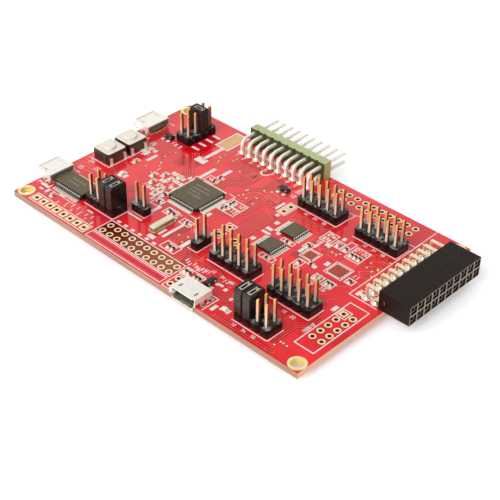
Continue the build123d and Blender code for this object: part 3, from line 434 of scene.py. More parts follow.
HEADER_INSULATORS = [
    "front_left_header_insulator", "front_right_header_insulator", "rear_left_header_insulator",
    "rear_right_header_insulator",
]
node_finish = {
    "mask": ["circuit_board"],
    "rim_gold": ["mounting_hole_plating"],
    "gold": ["hole_array_plating", "edge_pad_plating", "power_pad_plating", "usb_contacts"],
    "pin": ["straight_header_pins", "jumper_block_pins"],
    "tin": ["chip_terminals", "switch_legs", "switch_domes"],
    "green_pin": ["green_header_pins"],
    "contact": ["side_socket_contacts"],
    "leads": ["microcontroller_leads", "usb_bridge_leads", "buffer_leads", "transistor_leads"],
    "solder": ["solder_joints"],
    "black": [
        *HEADER_INSULATORS, "two_pin_insulators", "front_jumper_insulator", "left_jumper_insulator",
        "rear_jumper_insulator",
    ],
    "cap": [name for name in nodes if name.endswith("_sleeve")],
    "clip": [name for name in nodes if name.endswith("_clip")],
    "nickel": [name for name in nodes if name.endswith("_usb_shell")],
    "green": ["green_header_body"],
    "socket": ["side_socket_body"],
    "resin": ["microcontroller_body", "usb_bridge_body", "buffer_bodies"],
    "dark_resin": ["transistor_bodies"],
    "crystal": ["crystal_base", "crystal_can"],
    "resistor": ["resistor_bodies"],
    "capacitor": ["capacitor_bodies"],
    "lamp": ["indicator_lamps"],
    "tongue": ["usb_tongues"],
    "switch": ["front_switch_base", "rear_switch_base"],
    "cover": ["front_switch_cover", "rear_switch_cover"],
    "button": ["front_switch_button", "rear_switch_button"],
}
for key, names in node_finish.items():
    for name in names:
        nodes[name].data.materials.clear()
        nodes[name].data.materials.append(finish[key])


# ------------------------------------------------------------------ thin plates that lie on the board
LEVELS = 19  # heights that the plates of one object take in turn
LEVEL_JUMP = 7  # steps from one plate's height to the next one's
LOWEST_SHARE = 0.7  # part of the thickness that the lowest plate has
LEVEL_SHARE = 0.3  # part of the thickness that lies between the lowest plate and the highest
SHARPEST = 0.4  # cosine at which the mitre of a corner grows no longer


def unit(x, y):
    """The direction of a vector, as a pair."""
    size = math.hypot(x, y) or 1.0
    return x / size, y / size


def turned(x, y, u, v, turn):
    """The place that lies u, v away from x, y, in axes turned by an angle in degrees."""
    c, s = math.cos(math.radians(turn)), math.sin(math.radians(turn))
    return x + u * c - v * s, y + u * s + v * c


def beside(line, distance, closed=False):
    """A path parallel to another one, on its left."""
    moved = []
    for n, (x, y) in enumerate(line):
        ways = []
        if n or closed:
            ways.append(unit(x - line[n - 1][0], y - line[n - 1][1]))
        if n < len(line) - 1 or closed:
            after = line[(n + 1) % len(line)]
            ways.append(unit(after[0] - x, after[1] - y))
        u = sum(way[0] for way in ways) / len(ways)
        v = sum(way[1] for way in ways) / len(ways)
        u, v = unit(u, v)
        reach = distance / max(SHARPEST, u * ways[0][0] + v * ways[0][1])
        moved.append((x - v * reach, y + u * reach))
    return moved


class Plates:
    """Gathers thin closed plates on the board into one mesh. Places and widths are in millimetres."""

    def __init__(self, name, key, body="board", slot="board_mask", base=BOARD_TOP, thickness=0.02):
        self.name = name
        self.key = key
        self.body = body
        self.slot = slot
        self.base = base
        self.thickness = thickness
        self.points = []
        self.faces = []
        self.count = 0

    def levels(self):
        """Heights of the next plate's underside and top. The tops are a hair apart, so few share a plane."""
        self.count += 1
        step = self.count * LEVEL_JUMP % LEVELS
        return self.base, self.base + self.thickness * (LOWEST_SHARE + LEVEL_SHARE * step / (LEVELS - 1))

    def outline(self, loop):
        """One plate with a convex outline, counter-clockwise."""
        start = len(self.points)
        count = len(loop)
        for z in self.levels():
            self.points += [(x * MM, y * MM, z * MM) for x, y in loop]
        self.faces.append([start + n for n in reversed(range(count))])
        self.faces.append([start + count + n for n in range(count)])
        for n in range(count):
            m = (n + 1) % count
            self.faces.append([start + n, start + m, start + count + m, start + count + n])

    def box(self, x, y, width, length, turn=0.0):
        """A rectangular plate by its centre."""
        half = ((-0.5, -0.5), (0.5, -0.5), (0.5, 0.5), (-0.5, 0.5))
        self.outline([turned(x, y, u * width, v * length, turn) for u, v in half])

    def disc(self, x, y, radius, count):
        """A round plate with count sides."""
        angles = [math.tau * n / count for n in range(count)]
        self.outline([(x + radius * math.cos(a), y + radius * math.sin(a)) for a in angles])

    def path(self, line, width, closed=False):
        """A strip of constant width with mitred corners."""
        count = len(line)
        start = len(self.points)
        sides = [beside(line, reach, closed) for reach in (width / 2, -width / 2)]
        for z in self.levels():
            for side in sides:
                self.points += [(x * MM, y * MM, z * MM) for x, y in side]
        low_left, low_right, top_left, top_right = (start + n * count for n in range(4))
        for n in range(count if closed else count - 1):
            m = (n + 1) % count
            self.faces.append([top_left + n, top_right + n, top_right + m, top_left + m])
            self.faces.append([low_left + n, low_left + m, low_right + m, low_right + n])
            self.faces.append([low_left + n, top_left + n, top_left + m, low_left + m])
            self.faces.append([low_right + n, low_right + m, top_right + m, top_right + n])
        if not closed:
            last = count - 1
            self.faces.append([low_left, low_right, top_right, top_left])
            self.faces.append([low_left + last, top_left + last, top_right + last, low_right + last])

    def frame(self, x0, y0, x1, y1, width):
        """The outline of a rectangle."""
        self.path([(x0, y0), (x1, y0), (x1, y1), (x0, y1)], width, closed=True)

    def done(self):
        """Makes the mesh object, riding on its body."""
        mesh = bpy.data.meshes.new(self.name)
        mesh.from_pydata(self.points, [], self.faces)
        mesh.update()
        piece = bpy.data.objects.new(self.name, mesh)
        bpy.context.scene.collection.objects.link(piece)
        piece.data.materials.append(finish[self.key])
        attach(piece, self.body)


# ------------------------------------------------------------------ places of the parts, read from the solids
def centre(node):
    """Middle of a node's box on the board, in millimetres."""
    low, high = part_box(node)
    return (low.x + high.x) / 2 / MM, (low.y + high.y) / 2 / MM


def edges(node, margin=0.0):
    """A node's box on the board, in millimetres, grown by a margin: x0, y0, x1, y1."""
    low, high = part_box(node)
    return low.x / MM - margin, low.y / MM - margin, high.x / MM + margin, high.y / MM + margin


# ------------------------------------------------------------------ printed lines, pads and tracks
# places that no solid gives are set from the photograph, in millimetres from the board's centre
silk = Plates("board_print", "silk", base=BOARD_TOP + 0.012, thickness=0.03)
pads = Plates("surface_pads", "paste", slot="tin_plating", thickness=0.035)
gold_pads = Plates("bare_gold_pads", "gold", slot="gold_plating", thickness=0.035)
bare = Plates("bare_areas", "bare", base=BOARD_TOP + 0.008, thickness=0.008)
traces = Plates("copper_tracks", "trace", base=BOARD_TOP + 0.004, thickness=0.02)
dark_patches = Plates("darker_mask_patches", "dark_patch", thickness=0.006)
gaps = Plates("track_gaps", "gap", thickness=0.012)
# painted shadow of a header at the rear left
deep = Plates("painted_header_shadow", "deep", thickness=0.016)
crimson = Plates("tag_area", "crimson", thickness=0.003)
lead_shade = Plates("painted_shade_under_leads", "lead_shade", base=BOARD_TOP + 0.004, thickness=0.016)
tan = Plates("rear_test_pad", "tan", slot="gold_plating", thickness=0.035)

# widths of printed lines and tracks
FINE = 0.2
THIN = 0.22
MEDIUM = 0.24
LINE = 0.26
HEAVY = 0.28
BROAD = 0.3
BLOCK = 0.5
TRACK = 0.24
WIDE_TRACK = 0.34
LAND_RADIUS = 0.26  # round end of a track, and the pad of a small plated hole
LAND_SIDES = 10
GAP_MARGIN = 0.2  # dark mask beyond the tracks of a bundle

# strokes of the digits, in cells one wide and two high
DIGITS = {
    "0": [[(0, 0), (1, 0), (1, 2), (0, 2), (0, 0)]],
    "1": [[(0.3, 1.6), (0.6, 2), (0.6, 0)]],
    "2": [[(0, 2), (1, 2), (1, 1), (0, 1), (0, 0), (1, 0)]],
    "3": [[(0, 2), (1, 2), (1, 0), (0, 0)], [(0.2, 1), (1, 1)]],
    "4": [[(0, 2), (0, 1), (1, 1)], [(1, 2), (1, 0)]],
    "5": [[(1, 2), (0, 2), (0, 1), (1, 1), (1, 0), (0, 0)]],
    "6": [[(1, 2), (0, 2), (0, 0), (1, 0), (1, 1), (0, 1)]],
    "7": [[(0, 2), (1, 2), (0.4, 0)]],
    "8": [[(0, 0), (1, 0), (1, 2), (0, 2), (0, 0)], [(0, 1), (1, 1)]],
    "9": [[(1, 1), (0, 1), (0, 2), (1, 2), (1, 0), (0, 0)]],
}
DIGIT_STEP = 1.6


def number(text, x, y, height, turn=0.0, width=FINE):
    """Plain digits printed on the board, from their lower left corner."""
    scale = height / 2
    for place, digit in enumerate(text):
        for stroke in DIGITS[digit]:
            line = [turned(x, y, (u + place * DIGIT_STEP) * scale, v * scale, turn) for u, v in stroke]
            silk.path(line, width)


def track(line, width=TRACK):
    """A copper track with a round land at each end."""
    traces.path(line, width)
    for end in (line[0], line[-1]):
        traces.disc(*end, LAND_RADIUS, LAND_SIDES)


def bundle(line, count, gap, width=TRACK):
    """Copper tracks from a line to its left, or right where gap is negative, with dark mask between them."""
    gaps.path(beside(line, (count - 1) / 2 * gap), count * abs(gap) + GAP_MARGIN)
    for n in range(count):
        track(beside(line, n * gap), width)


# outlines round the hole arrays and edge pads, and the crimson tag area with its two pale bands
silk.frame(-20.4, -29.3, 5.2, -26.9, MEDIUM)
crimson.box(-7.6, -28.1, 25.2, 2.0)
for band_y, line_y in ((-28.82, -28.5), (-27.38, -27.7)):
    traces.path([(-20.1, band_y), (4.9, band_y)], WIDE_TRACK)
    gaps.path([(-20.1, line_y), (4.9, line_y)], 0.14)
silk.frame(-20.4, -26.4, 5.2, -21.1, MEDIUM)
bare.box(-7.6, -23.75, 25.0, 4.9)
silk.frame(-41.95, -29.15, -21.6, -26.15, LINE)
silk.path([(8.2, -24.1), (6.15, -24.1), (6.15, -29.45), (8.6, -29.45)], LINE)
silk.frame(40.05, -23.0, 45.35, -4.85, HEAVY)
silk.frame(40.4, -10.2, 42.9, -7.5, LINE)
silk.box(38.95, -8.75, 1.0, 1.9)
silk.path([(35.0, 21.2), (37.7, 21.2), (37.7, 29.6)], MEDIUM)
silk.path([(17.4, 21.2), (19.6, 21.2), (19.6, 19.4)], MEDIUM)
silk.path([(19.6, 21.2), (20.6, 22.0), (22.4, 21.4)], FINE)
for pad_x, pad_y in ((6.1, 13.04), (6.1, 10.5)):
    silk.frame(pad_x - 1.25, pad_y - 1.22, pad_x + 1.25, pad_y + 1.22, LINE)
silk.box(3.9, 11.6, 0.7, 3.4)
silk.box(6.1, 8.3, 1.0, 1.0)
for hole_x, hole_y in ((1.5, -3.4), (1.5, -7.0)):
    silk.frame(hole_x - 1.3, hole_y - 1.3, hole_x + 1.3, hole_y + 1.3, BROAD)

# printed line along each header's front and its end, with a clipped corner
for node in (*HEADER_INSULATORS, "front_jumper_insulator", "left_jumper_insulator"):
    x0, y0, x1, y1 = edges(node, 0.42)
    silk.path([(x0 + 0.6, y0), (x1 - 0.3, y0), (x1, y0 + 0.3), (x1, y1 - 0.8)], HEAVY)
silk.path([(0.2, -15.9), (3.2, -15.9), (3.2, -10.2)], LINE)
silk.path([(-20.0, -15.2), (-15.6, -15.2), (-15.6, -12.4)], THIN)
silk.box(-17.7, -16.2, 4.8, 0.55)
silk.box(-1.0, -15.2, 1.1, 3.4)

# pin numbers beside the headers and arrays
for n, text in enumerate(("12", "34", "56")):
    for x, step, y in ((26.6, 2.9, -28.4), (10.1, 2.9, 13.1), (28.4, 2.7, 13.1), (10.6, 2.9, -18.5)):
        number(text, x + step * n, y, 0.75, width=0.14)
number("10", 31.2, -17.6, 0.8, width=0.15)
number("20", 33.9, -17.8, 0.8, width=0.15)
number("108642", 39.65, -19.4, 0.8, turn=90, width=0.14)
for n in range(8):
    number(str(n + 1), -40.9 + PITCH * n, -25.6, 0.7, width=0.15)
for n in range(6):
    silk.box(-33.4 + 1.75 * n, -24.2 + 0.3 * (n % 3), 0.26, 1.1)
for x, y, width, length in (
    (-43.6, -23.0, 2.6, 0.5), (-41.2, -24.1, 0.9, 1.2), (-36.9, -22.9, 1.8, 0.45), (-26.8, -22.4, 2.0, 0.45),
    (-44.9, -21.3, 0.5, 1.3),
):
    silk.box(x, y, width, length)
for n in range(6):
    silk.box(-18.7 + 2.45 * n, -20.3, 1.1, 0.75)
for n in range(4):
    silk.box(-29.7, 15.4 + PITCH * n, 2.5, 0.75)
for n in range(8):
    silk.box(3.6 + 0.85 * n, -19.2 - 0.4 * (n % 3), 0.3, 1.15)
for n in range(3):
    number(str(7 + n), -36.2 + 1.5 * n, 12.4, 1.0)


# chips: pads under the leads, painted shade between them, corner marks and outlines
def lead_pads(x, y, count, pitch, long, wide, reach_x=None, reach_y=None):
    """Rows of pads on two or four sides of a chip, each side that has a reach from the chip's middle."""
    for n in range(count):
        offset = (n - (count - 1) / 2) * pitch
        for side in (-1, 1):
            if reach_x:
                pads.box(x + side * reach_x, y + offset, long, wide)
            if reach_y:
                pads.box(x + offset, y + side * reach_y, wide, long)


CHIP_PITCH = 0.65
CHIP_PAD_WIDE = 0.42
MCU_X, MCU_Y = centre("microcontroller_body")
lead_pads(MCU_X, MCU_Y, count=16, pitch=0.5, long=1.4, wide=0.47, reach_x=5.75, reach_y=5.75)
for side in (-1, 1):
    lead_shade.box(MCU_X + side * 5.25, MCU_Y, 0.6, 8.6)
    lead_shade.box(MCU_X, MCU_Y + side * 5.25, 8.6, 0.6)
    for end in (-1, 1):
        corner_x, corner_y = MCU_X + end * 6.7, MCU_Y + side * 6.6
        silk.path([(corner_x, MCU_Y + side * 5.4), (corner_x, corner_y), (MCU_X + end * 4.6, corner_y)], THIN)
BRIDGE_X, BRIDGE_Y = centre("usb_bridge_body")
lead_pads(BRIDGE_X, BRIDGE_Y, count=14, pitch=CHIP_PITCH, long=1.5, wide=CHIP_PAD_WIDE, reach_y=3.75)
for side in (-1, 1):
    lead_shade.box(BRIDGE_X, BRIDGE_Y + side * 3.2, 9.4, 1.1)
silk.path([(-42.3, -21.2), (-42.3, -23.2), (-31.4, -23.2)], FINE)
BUFFER_HALF = 2.425  # half the length of one buffer's body
low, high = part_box("buffer_bodies")
BUFFER_X = (low.x + high.x) / 2 / MM
for buffer_y in (low.y / MM + BUFFER_HALF, high.y / MM - BUFFER_HALF):
    lead_pads(BUFFER_X, buffer_y, count=8, pitch=CHIP_PITCH, long=1.4, wide=CHIP_PAD_WIDE, reach_x=3.1)
    for side in (-1, 1):
        lead_shade.box(BUFFER_X + side * 2.75, buffer_y, 1.2, 4.9)
    silk.box(BUFFER_X - 3.75, buffer_y, 0.3, 5.3)

# faded bars of print on the chips
for node, bars in (
    ("microcontroller_body", ((-0.4, 2.6, 4.6), (0.2, 1.3, 5.6), (-0.6, 0.0, 3.6), (0.3, -1.3, 4.8))),
    ("usb_bridge_body", ((0.0, 0.7, 5.0), (-0.4, -0.7, 4.0))),
):
    chip_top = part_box(node)[1].z / MM
    marks = Plates(node.replace("body", "print"), "faded", slot="chip_resin", base=chip_top, thickness=0.01)
    chip_x, chip_y = centre(node)
    for x, y, length in bars:
        marks.box(chip_x + x, chip_y + y, length, 0.45)
    marks.done()


# bare footprints, waiting for chips
def empty_footprint(x0, y0, x1, y1, per_side, pad_long, pad_wide):
    """A ring of pads round a bare square with its outline."""
    mid_x, mid_y = (x0 + x1) / 2, (y0 + y1) / 2
    reach_x, reach_y = (x1 - x0 - pad_long) / 2, (y1 - y0 - pad_long) / 2
    lead_pads(mid_x, mid_y, per_side, (x1 - x0 - 1.4) / (per_side - 1), pad_long, pad_wide, reach_x, reach_y)
    dark_patches.box(mid_x, mid_y, 2 * reach_x + pad_long, 2 * reach_y + pad_long)
    step_x, step_y = reach_x * 0.48, reach_y * 0.48
    for row in (-1, 0, 1):
        for column in (-1, 0, 1):
            bare.box(mid_x + column * step_x, mid_y + row * step_y, reach_x * 0.36, reach_y * 0.36)
    silk.frame(x0 - 0.1, y0 - 0.1, x1 + 0.1, y1 + 0.1, FINE)


empty_footprint(20.6, 0.2, 24.2, 3.7, 6, 0.45, 0.26)
empty_footprint(28.5, -0.4, 33.3, 4.2, 8, 0.5, 0.28)

# deep red area painted as a header's shadow, and framed tan pad at the rear left, a bar in front of the pad,
# an arc by the green header
deep.box(-29.0, 17.2, 5.0, 10.6)
tan.box(-25.1, 24.4, 3.4, 7.2)
silk.frame(-27.2, 20.4, -23.0, 28.3, BLOCK)
silk.box(-24.5, 16.5, 1.1, 7.4)
silk.path([(-10.0, 19.9), (-9.6, 18.9), (-8.8, 18.5), (-7.9, 18.9), (-7.4, 19.9)], BLOCK)


# pads, outlines and pale prints round the small parts
def part_pads(x, y, turn, reach=0.72, wide=0.95, long=0.75):
    """The two solder pads of a two-terminal part."""
    for side in (-1, 1):
        pads.box(*turned(x, y, side * reach, 0.0, turn), long, wide, turn)


# two-terminal parts, where the CAD source has them: x, y and turn in degrees
small_parts = [
    (6.5, -22.3, 90), (7.6, -22.3, 90), (9.6, -22.3, 90), (10.7, -22.3, 90), (-3.0, -18.6, 90),
    (-1.7, -18.6, 90), (-4.9, 4.6, 0), (-4.9, 3.55, 0), (-4.8, 1.9, 0), (-5.2, 0.9, 0), (-15.0, 10.1, 0),
    (-15.0, 8.0, 0), (-19.6, -4.9, 90), (-18.1, -7.8, 0), (-13.5, -8.75, 90), (-11.9, -9.05, 90),
    (-6.7, -9.3, 0), (29.1, 8.5, 90), (30.3, 8.5, 90), (31.5, 8.5, 90), (26.8, 9.3, 90), (19.6, 4.3, 90),
    (22.3, -1.9, 90), (24.9, -0.6, 0), (35.2, 0.7, 90), (32.0, -3.15, 90), (33.1, -3.15, 90),
    (15.9, -5.8, 0), (15.2, 2.0, 0), (-10.3, -9.0, 90), (21.0, 9.2, 0), (21.0, 11.0, 0), (24.4, 9.4, 90),
    (28.6, -3.2, 90), (29.8, -3.2, 90), (-26.0, 1.2, 90), (-23.0, 1.0, 0), (-22.0, 3.0, 0),
    (-28.0, -0.8, 90), (-26.0, -3.0, 90), (-23.0, -3.0, 0), (-22.0, -6.0, 90), (-36.8, 7.0, 0),
    (-36.0, 0.3, 90), (-38.85, -24.2, 90), (-24.4, 12.9, 0),
]
# the crowded group left of the microcontroller has larger pads, and bare ones among them
CROWD_RIGHT, CROWD_FRONT = -19.5, -7.0
for x, y, turn in small_parts:
    if x < CROWD_RIGHT and y > CROWD_FRONT:
        part_pads(x, y, turn, reach=0.85, wide=1.25, long=0.9)
    else:
        part_pads(x, y, turn)
for x, y in ((-24.5, 3.4), (-24.4, -1.0), (-20.6, 1.0), (-19.9, 4.6), (-24.3, -5.2), (-20.2, -1.6)):
    part_pads(x, y, turn=0, reach=0.55, wide=1.3)
# the lamps, and the three legs of each transistor
for x, y, turn in ((22.5, -25.8, 0), (-34.0, -6.0, 90)):
    part_pads(x, y, turn, reach=1.0, wide=1.45, long=0.6)
for x, y, turn in ((13.5, -21.6, 90), (0.15, 17.15, 0), (-38.35, 14.15, 0)):
    for u, v in ((0, 1.4), (-0.95, -1.4), (0.95, -1.4)):
        pads.box(*turned(x, y, u, v, turn), 0.9, 0.9)

# printed outlines: x0, y0, x1, y1
outlines = [
    (-6.5, 2.95, -1.1, 5.6), (-6.5, 0.2, -1.1, 2.75), (-4.95, -20.0, -0.2, -17.2), (28.3, 6.9, 32.3, 11.8),
    (-17.7, 6.7, -14.4, 9.2), (-19.6, -9.5, -17.0, -6.9), (-14.6, -10.2, -11.1, -7.7),
    (-8.7, -10.3, -5.3, -8.3), (18.7, 3.1, 20.9, 5.4), (21.3, -4.2, 23.4, -0.8), (27.9, -4.5, 30.5, -2.2),
    (31.2, -4.6, 33.8, -2.2), (34.2, -0.2, 36.3, 1.7), (19.4, 8.3, 22.6, 12.0), (23.3, 8.2, 25.5, 10.7),
    (25.9, 8.2, 27.6, 12.4), (5.8, -23.6, 11.5, -21.0), (13.7, -6.6, 18.0, -5.0), (13.4, 1.4, 17.1, 2.7),
]
for x0, y0, x1, y1 in outlines:
    silk.frame(x0, y0, x1, y1, LINE)
# numbers, each by its lower left corner
prints = [
    ("12", -3.2, 4.0), ("13", -3.2, 1.2), ("7", -9.3, -19.6), ("21", 28.6, 10.3), ("22", 30.6, 10.3),
    ("4", -16.9, 7.4), ("31", 21.7, -3.9), ("3", -7.6, -9.9), ("42", 7.3, -20.3), ("41", 9.4, -19.6),
    ("18", 19.6, 6.7), ("19", 22.0, 7.0), ("15", 28.3, -6.2), ("16", 31.8, -6.2), ("9", 23.6, 11.4),
    ("5", -21.6, -4.4), ("6", -21.7, -1.4), ("14", -27.0, -5.6), ("2", -24.6, 2.6), ("1", -29.3, 1.2),
    ("8", -20.9, -8.6), ("17", 14.9, -19.3), ("11", 34.4, 2.2), ("10", 2.4, 16.3), ("30", 2.2, 18.6),
    ("33", -41.0, -9.6), ("34", -44.6, -8.2), ("35", -44.6, -11.9), ("26", -39.8, 8.6), ("27", -37.8, 3.6),
    ("28", -24.6, -0.9),
]
for text, x, y in prints:
    number(text, x, y, 1.15)
# pale prints: centre and size
pale_boxes = [
    (-18.9, 9.2, 1.0, 5.8), (-15.5, 12.8, 1.0, 3.2), (-16.4, -10.9, 1.0, 3.9), (-6.9, -13.7, 0.8, 7.0),
    (-8.9, -18.9, 2.2, 1.3), (-5.7, -3.2, 1.0, 1.6), (8.3, 5.8, 1.1, 1.2), (8.6, 2.8, 1.9, 1.0),
    (9.0, 1.2, 2.6, 0.8), (8.4, -2.6, 1.1, 1.3), (11.4, 2.9, 1.1, 1.0), (20.2, -27.0, 0.9, 2.1),
    (20.8, -22.4, 0.7, 0.9), (26.0, -0.8, 1.0, 1.0), (27.3, 2.1, 1.1, 1.5), (19.6, 1.9, 0.9, 1.9),
    (20.9, 5.6, 0.8, 1.5), (22.8, 7.7, 1.6, 1.0), (24.0, 12.0, 1.0, 1.0), (-34.2, 4.3, 0.9, 3.6),
    (-38.3, 5.2, 1.6, 1.6), (-36.9, 4.9, 1.0, 2.2), (-24.5, 12.4, 3.4, 2.2), (-22.3, 2.9, 1.0, 2.4),
    (-21.0, -5.6, 0.8, 3.2), (-22.6, -4.6, 0.9, 1.8), (-32.6, -6.2, 1.1, 1.6), (-43.2, -24.4, 1.3, 0.6),
    (-8.4, -15.8, 0.7, 2.6), (17.6, -20.9, 0.9, 1.0), (15.9, -20.4, 1.1, 0.7), (14.7, -23.2, 1.1, 0.7),
    (39.2, -1.0, 0.9, 1.8),
]
for x, y, width, length in pale_boxes:
    silk.box(x, y, width, length)

# brackets beside the front USB socket, lines round the left ones and round the switches
silk.path([(16.4, -24.3), (18.9, -24.3), (18.9, -29.4)], LINE)
silk.path([(16.4, -25.1), (18.1, -25.1), (18.1, -27.2)], THIN)
for usb_y in (-17.9, 14.55):
    silk.path([(-42.1, usb_y - 4.6), (-42.1, usb_y - 4.0)], LINE)
    for side in (-1, 1):
        silk.path([(-46.4, usb_y + side * 4.7), (-41.9, usb_y + side * 4.7)], LINE)
for node in ("front_switch_base", "rear_switch_base"):
    x0, y0, x1, y1 = edges(node, 0.75)
    silk.path([(x0, y0), (x1, y0), (x1, y1)], BROAD)

# pads round the tails of the edge socket and the green header
COLUMNS = 10
SOCKET_TAILS = 1.6  # from the body to its nearer row of tails
GREEN_TAILS = 1.9
x0, y0, x1, y1 = edges("side_socket_body")
SOCKET_X = x0 - SOCKET_TAILS
SOCKET_Y = y0 + PITCH / 2
for n in range(COLUMNS):
    y = SOCKET_Y + PITCH * n
    for x in (SOCKET_X, SOCKET_X - PITCH):
        pads.disc(x, y, radius=1.14, count=20)
    pads.box(SOCKET_X - PITCH - 1.5, y, 1.5, 0.9)
    pads.box(SOCKET_X - PITCH / 2, y + 0.62, 1.6, 0.5)
    # painted shade between the tails
    lead_shade.box(SOCKET_X - 0.7, y + 1.0, 4.4, 0.42)
    silk.path([(SOCKET_X - PITCH - 2.7, y + 1.27), (SOCKET_X + 0.9, y + 1.27)], THIN)
OUTLINE_X = SOCKET_X - 6.2
silk.path([(x0, y0 - 0.35), (OUTLINE_X, y0 - 0.35), (OUTLINE_X, y1 + 0.4), (x0, y1 + 0.4)], LINE)
x0, y0, x1, y1 = edges("green_header_body")
GREEN_X = x0 + PITCH / 2
for n in range(COLUMNS):
    for row in (GREEN_TAILS, GREEN_TAILS + PITCH):
        pads.disc(GREEN_X + PITCH * n, y0 - row, radius=1.1, count=18)
    number(str((n + 1) % 10), GREEN_X + PITCH * n - 0.3, y0 - 6.9, 1.0)

# copper tracks round the microcontroller and in front of it
PIN_TRACK = 0.28
bundle([(-6.4, -0.6), (-3.2, -0.6), (0.4, 3.0), (0.4, 9.6), (2.4, 11.6), (2.4, 14.5)], 5, 0.62)
gaps.box(4.76, 1.6, 4.6, 11.4)
for n in range(7):
    track([(2.9 + 0.62 * n, -4.6 + 0.2 * n), (2.9 + 0.62 * n, 8.0 - 0.3 * n)], PIN_TRACK)
for n, x in enumerate((-5.2, -4.2, -3.2)):
    far = 4.1 - n
    nest = [(x, 6.6), (x, 10.9 + n), (x + 1.3, 12.2 + n), (2.8 - n, 12.2 + n), (far, 10.9 + n), (far, 9.4)]
    gaps.path(nest, 1.0)
    traces.path(nest, WIDE_TRACK)
for n in range(4):
    track([(-6.9 + 0.62 * n, 13.0 + 0.4 * n), (-6.9 + 0.62 * n, 20.4)], PIN_TRACK)
bundle([(-11.6, 6.7), (-11.6, 9.0), (-8.2, 12.4), (-8.2, 17.6)], 6, 0.6)
bundle([(-6.2, 6.4), (-6.2, 11.0), (-4.4, 12.8), (-4.4, 20.6)], 6, -0.62)
bundle([(-1.4, 7.0), (-1.4, 14.6), (1.2, 17.2)], 3, -0.6)
bundle([(-20.4, 5.2), (-23.4, 8.2), (-23.4, 10.6), (-27.2, 14.4)], 4, 0.6)
bundle([(-32.4, 5.2), (-32.4, 9.2)], 2, 0.65)
bundle([(-29.0, -14.2), (-29.0, -9.6), (-26.2, -6.8)], 4, -0.6)
bundle([(-4.0, -6.4), (-4.0, -12.6), (-5.2, -13.8), (-5.2, -16.6)], 5, 0.62)
bundle([(-9.0, -6.8), (-6.2, -6.8), (-2.6, -10.4)], 3, -0.6)

# copper tracks right of the middle, and rows of short ones
bundle([(5.4, -16.6), (1.4, -16.6), (0.6, -17.4), (0.6, -20.4)], 4, 0.6)
bundle([(17.8, -19.4), (12.0, -16.9), (6.0, -16.9)], 2, 0.6)
bundle([(19.8, -20.8), (16.6, -24.0)], 5, 0.62)
bundle([(22.0, -29.0), (38.8, -29.0), (39.4, -28.4)], 2, 0.6)
bundle([(36.6, -27.0), (36.6, -19.0), (38.0, -17.6), (38.0, -13.0)], 2, -0.6)
bundle([(18.4, 8.9), (18.4, 2.4), (19.2, 1.6)], 3, 0.5)
for n in range(8):
    track([(17.9, 8.1 - 0.65 * n), (18.7, 8.1 - 0.65 * n)], FINE)
    track([(29.1 + 0.52 * n, 4.8), (29.1 + 0.52 * n, 6.6)], THIN)
    track([(-34.6 + 0.8 * n, -25.4), (-34.6 + 0.8 * n, -22.9)], THIN)
for n in range(5):
    x = 7.7 + PITCH * n
    track([(x, -9.6), (x, -7.4), (x - 0.8, -6.6)], LINE)
    bundle([(x + 0.9, 14.2), (x + 0.9, 12.4), (x - 0.4, 11.1), (x - 0.4, 9.6)], 2, 0.55)
    x = 25.75 + PITCH * n
    track([(x, -9.6), (x, -7.2), (x + 0.9, -6.3)], LINE)
    bundle([(x - 0.4, 14.2), (x - 0.4, 12.8)], 2, 0.55)
for n in range(COLUMNS - 1):
    y = SOCKET_Y + PITCH * n
    track([(38.0, y), (35.8 + 0.2 * (n % 3), y), (34.2, y - 1.6)], LINE)
bundle([(34.6, 4.6), (36.4, 6.4), (36.4, 11.6)], 3, -0.55)
bundle([(26.6, 6.4), (23.2, 6.4), (22.2, 5.4)], 3, 0.5)
track([(25.0, 4.8), (27.6, 4.4), (27.8, 4.4)])

# copper tracks at the left end and left of the green header
bundle([(-38.4, -4.6), (-36.2, -6.8), (-36.2, -8.0)], 2, 0.6)
track([(-46.2, -6.9), (-39.8, -6.9)])
for n in range(4):
    track([(-45.6, -8.0 - 1.05 * n), (-39.6, -8.0 - 1.05 * n)], 0.4)
bundle([(-14.0, 15.2), (-14.0, 20.4)], 9, -0.66)

# small plated holes between layers: each area has its corners and its count
random.seed(7)
for x0, y0, x1, y1, count in (
    (-7.0, 7.0, 1.5, 15.0, 9), (-33.0, -1.0, -29.5, 13.0, 7), (-5.0, -16.0, 0.2, -6.0, 6),
    (18.0, -12.0, 24.0, -5.0, 5), (34.0, 2.0, 38.0, 13.0, 7), (25.0, 4.6, 28.0, 7.0, 3),
    (-22.5, 14.0, -12.0, 20.0, 8), (36.6, -28.0, 40.6, -24.6, 4),
):
    for _ in range(count):
        x, y = random.uniform(x0, x1), random.uniform(y0, y1)
        gold_pads.disc(x, y, LAND_RADIUS, LAND_SIDES)
        bare.disc(x, y, radius=0.4, count=12)

# darker patches of mask
for x, y, width, length in (
    (-3.0, -12.5, 7.0, 8.0), (2.4, -19.6, 5.0, 3.0), (-8.5, 21.5, 3.2, 2.4), (-21.4, -12.0, 3.0, 5.0),
    (20.4, 1.6, 3.2, 5.6), (-27.6, 8.6, 3.4, 4.2),
):
    dark_patches.box(x, y, width, length)

for plates in (crimson, dark_patches, gaps, deep, lead_shade, bare, traces, pads, gold_pads, tan, silk):
    plates.done()


# ------------------------------------------------------------------ floor, light and camera
def stage_mesh(name, corners, material):
    """A flat stage surface."""
    mesh = bpy.data.meshes.new(name)
    mesh.from_pydata(corners, [], [list(range(len(corners)))])
    piece = bpy.data.objects.new(name, mesh)
    bpy.context.scene.collection.objects.link(piece)
    piece.data.materials.append(material)


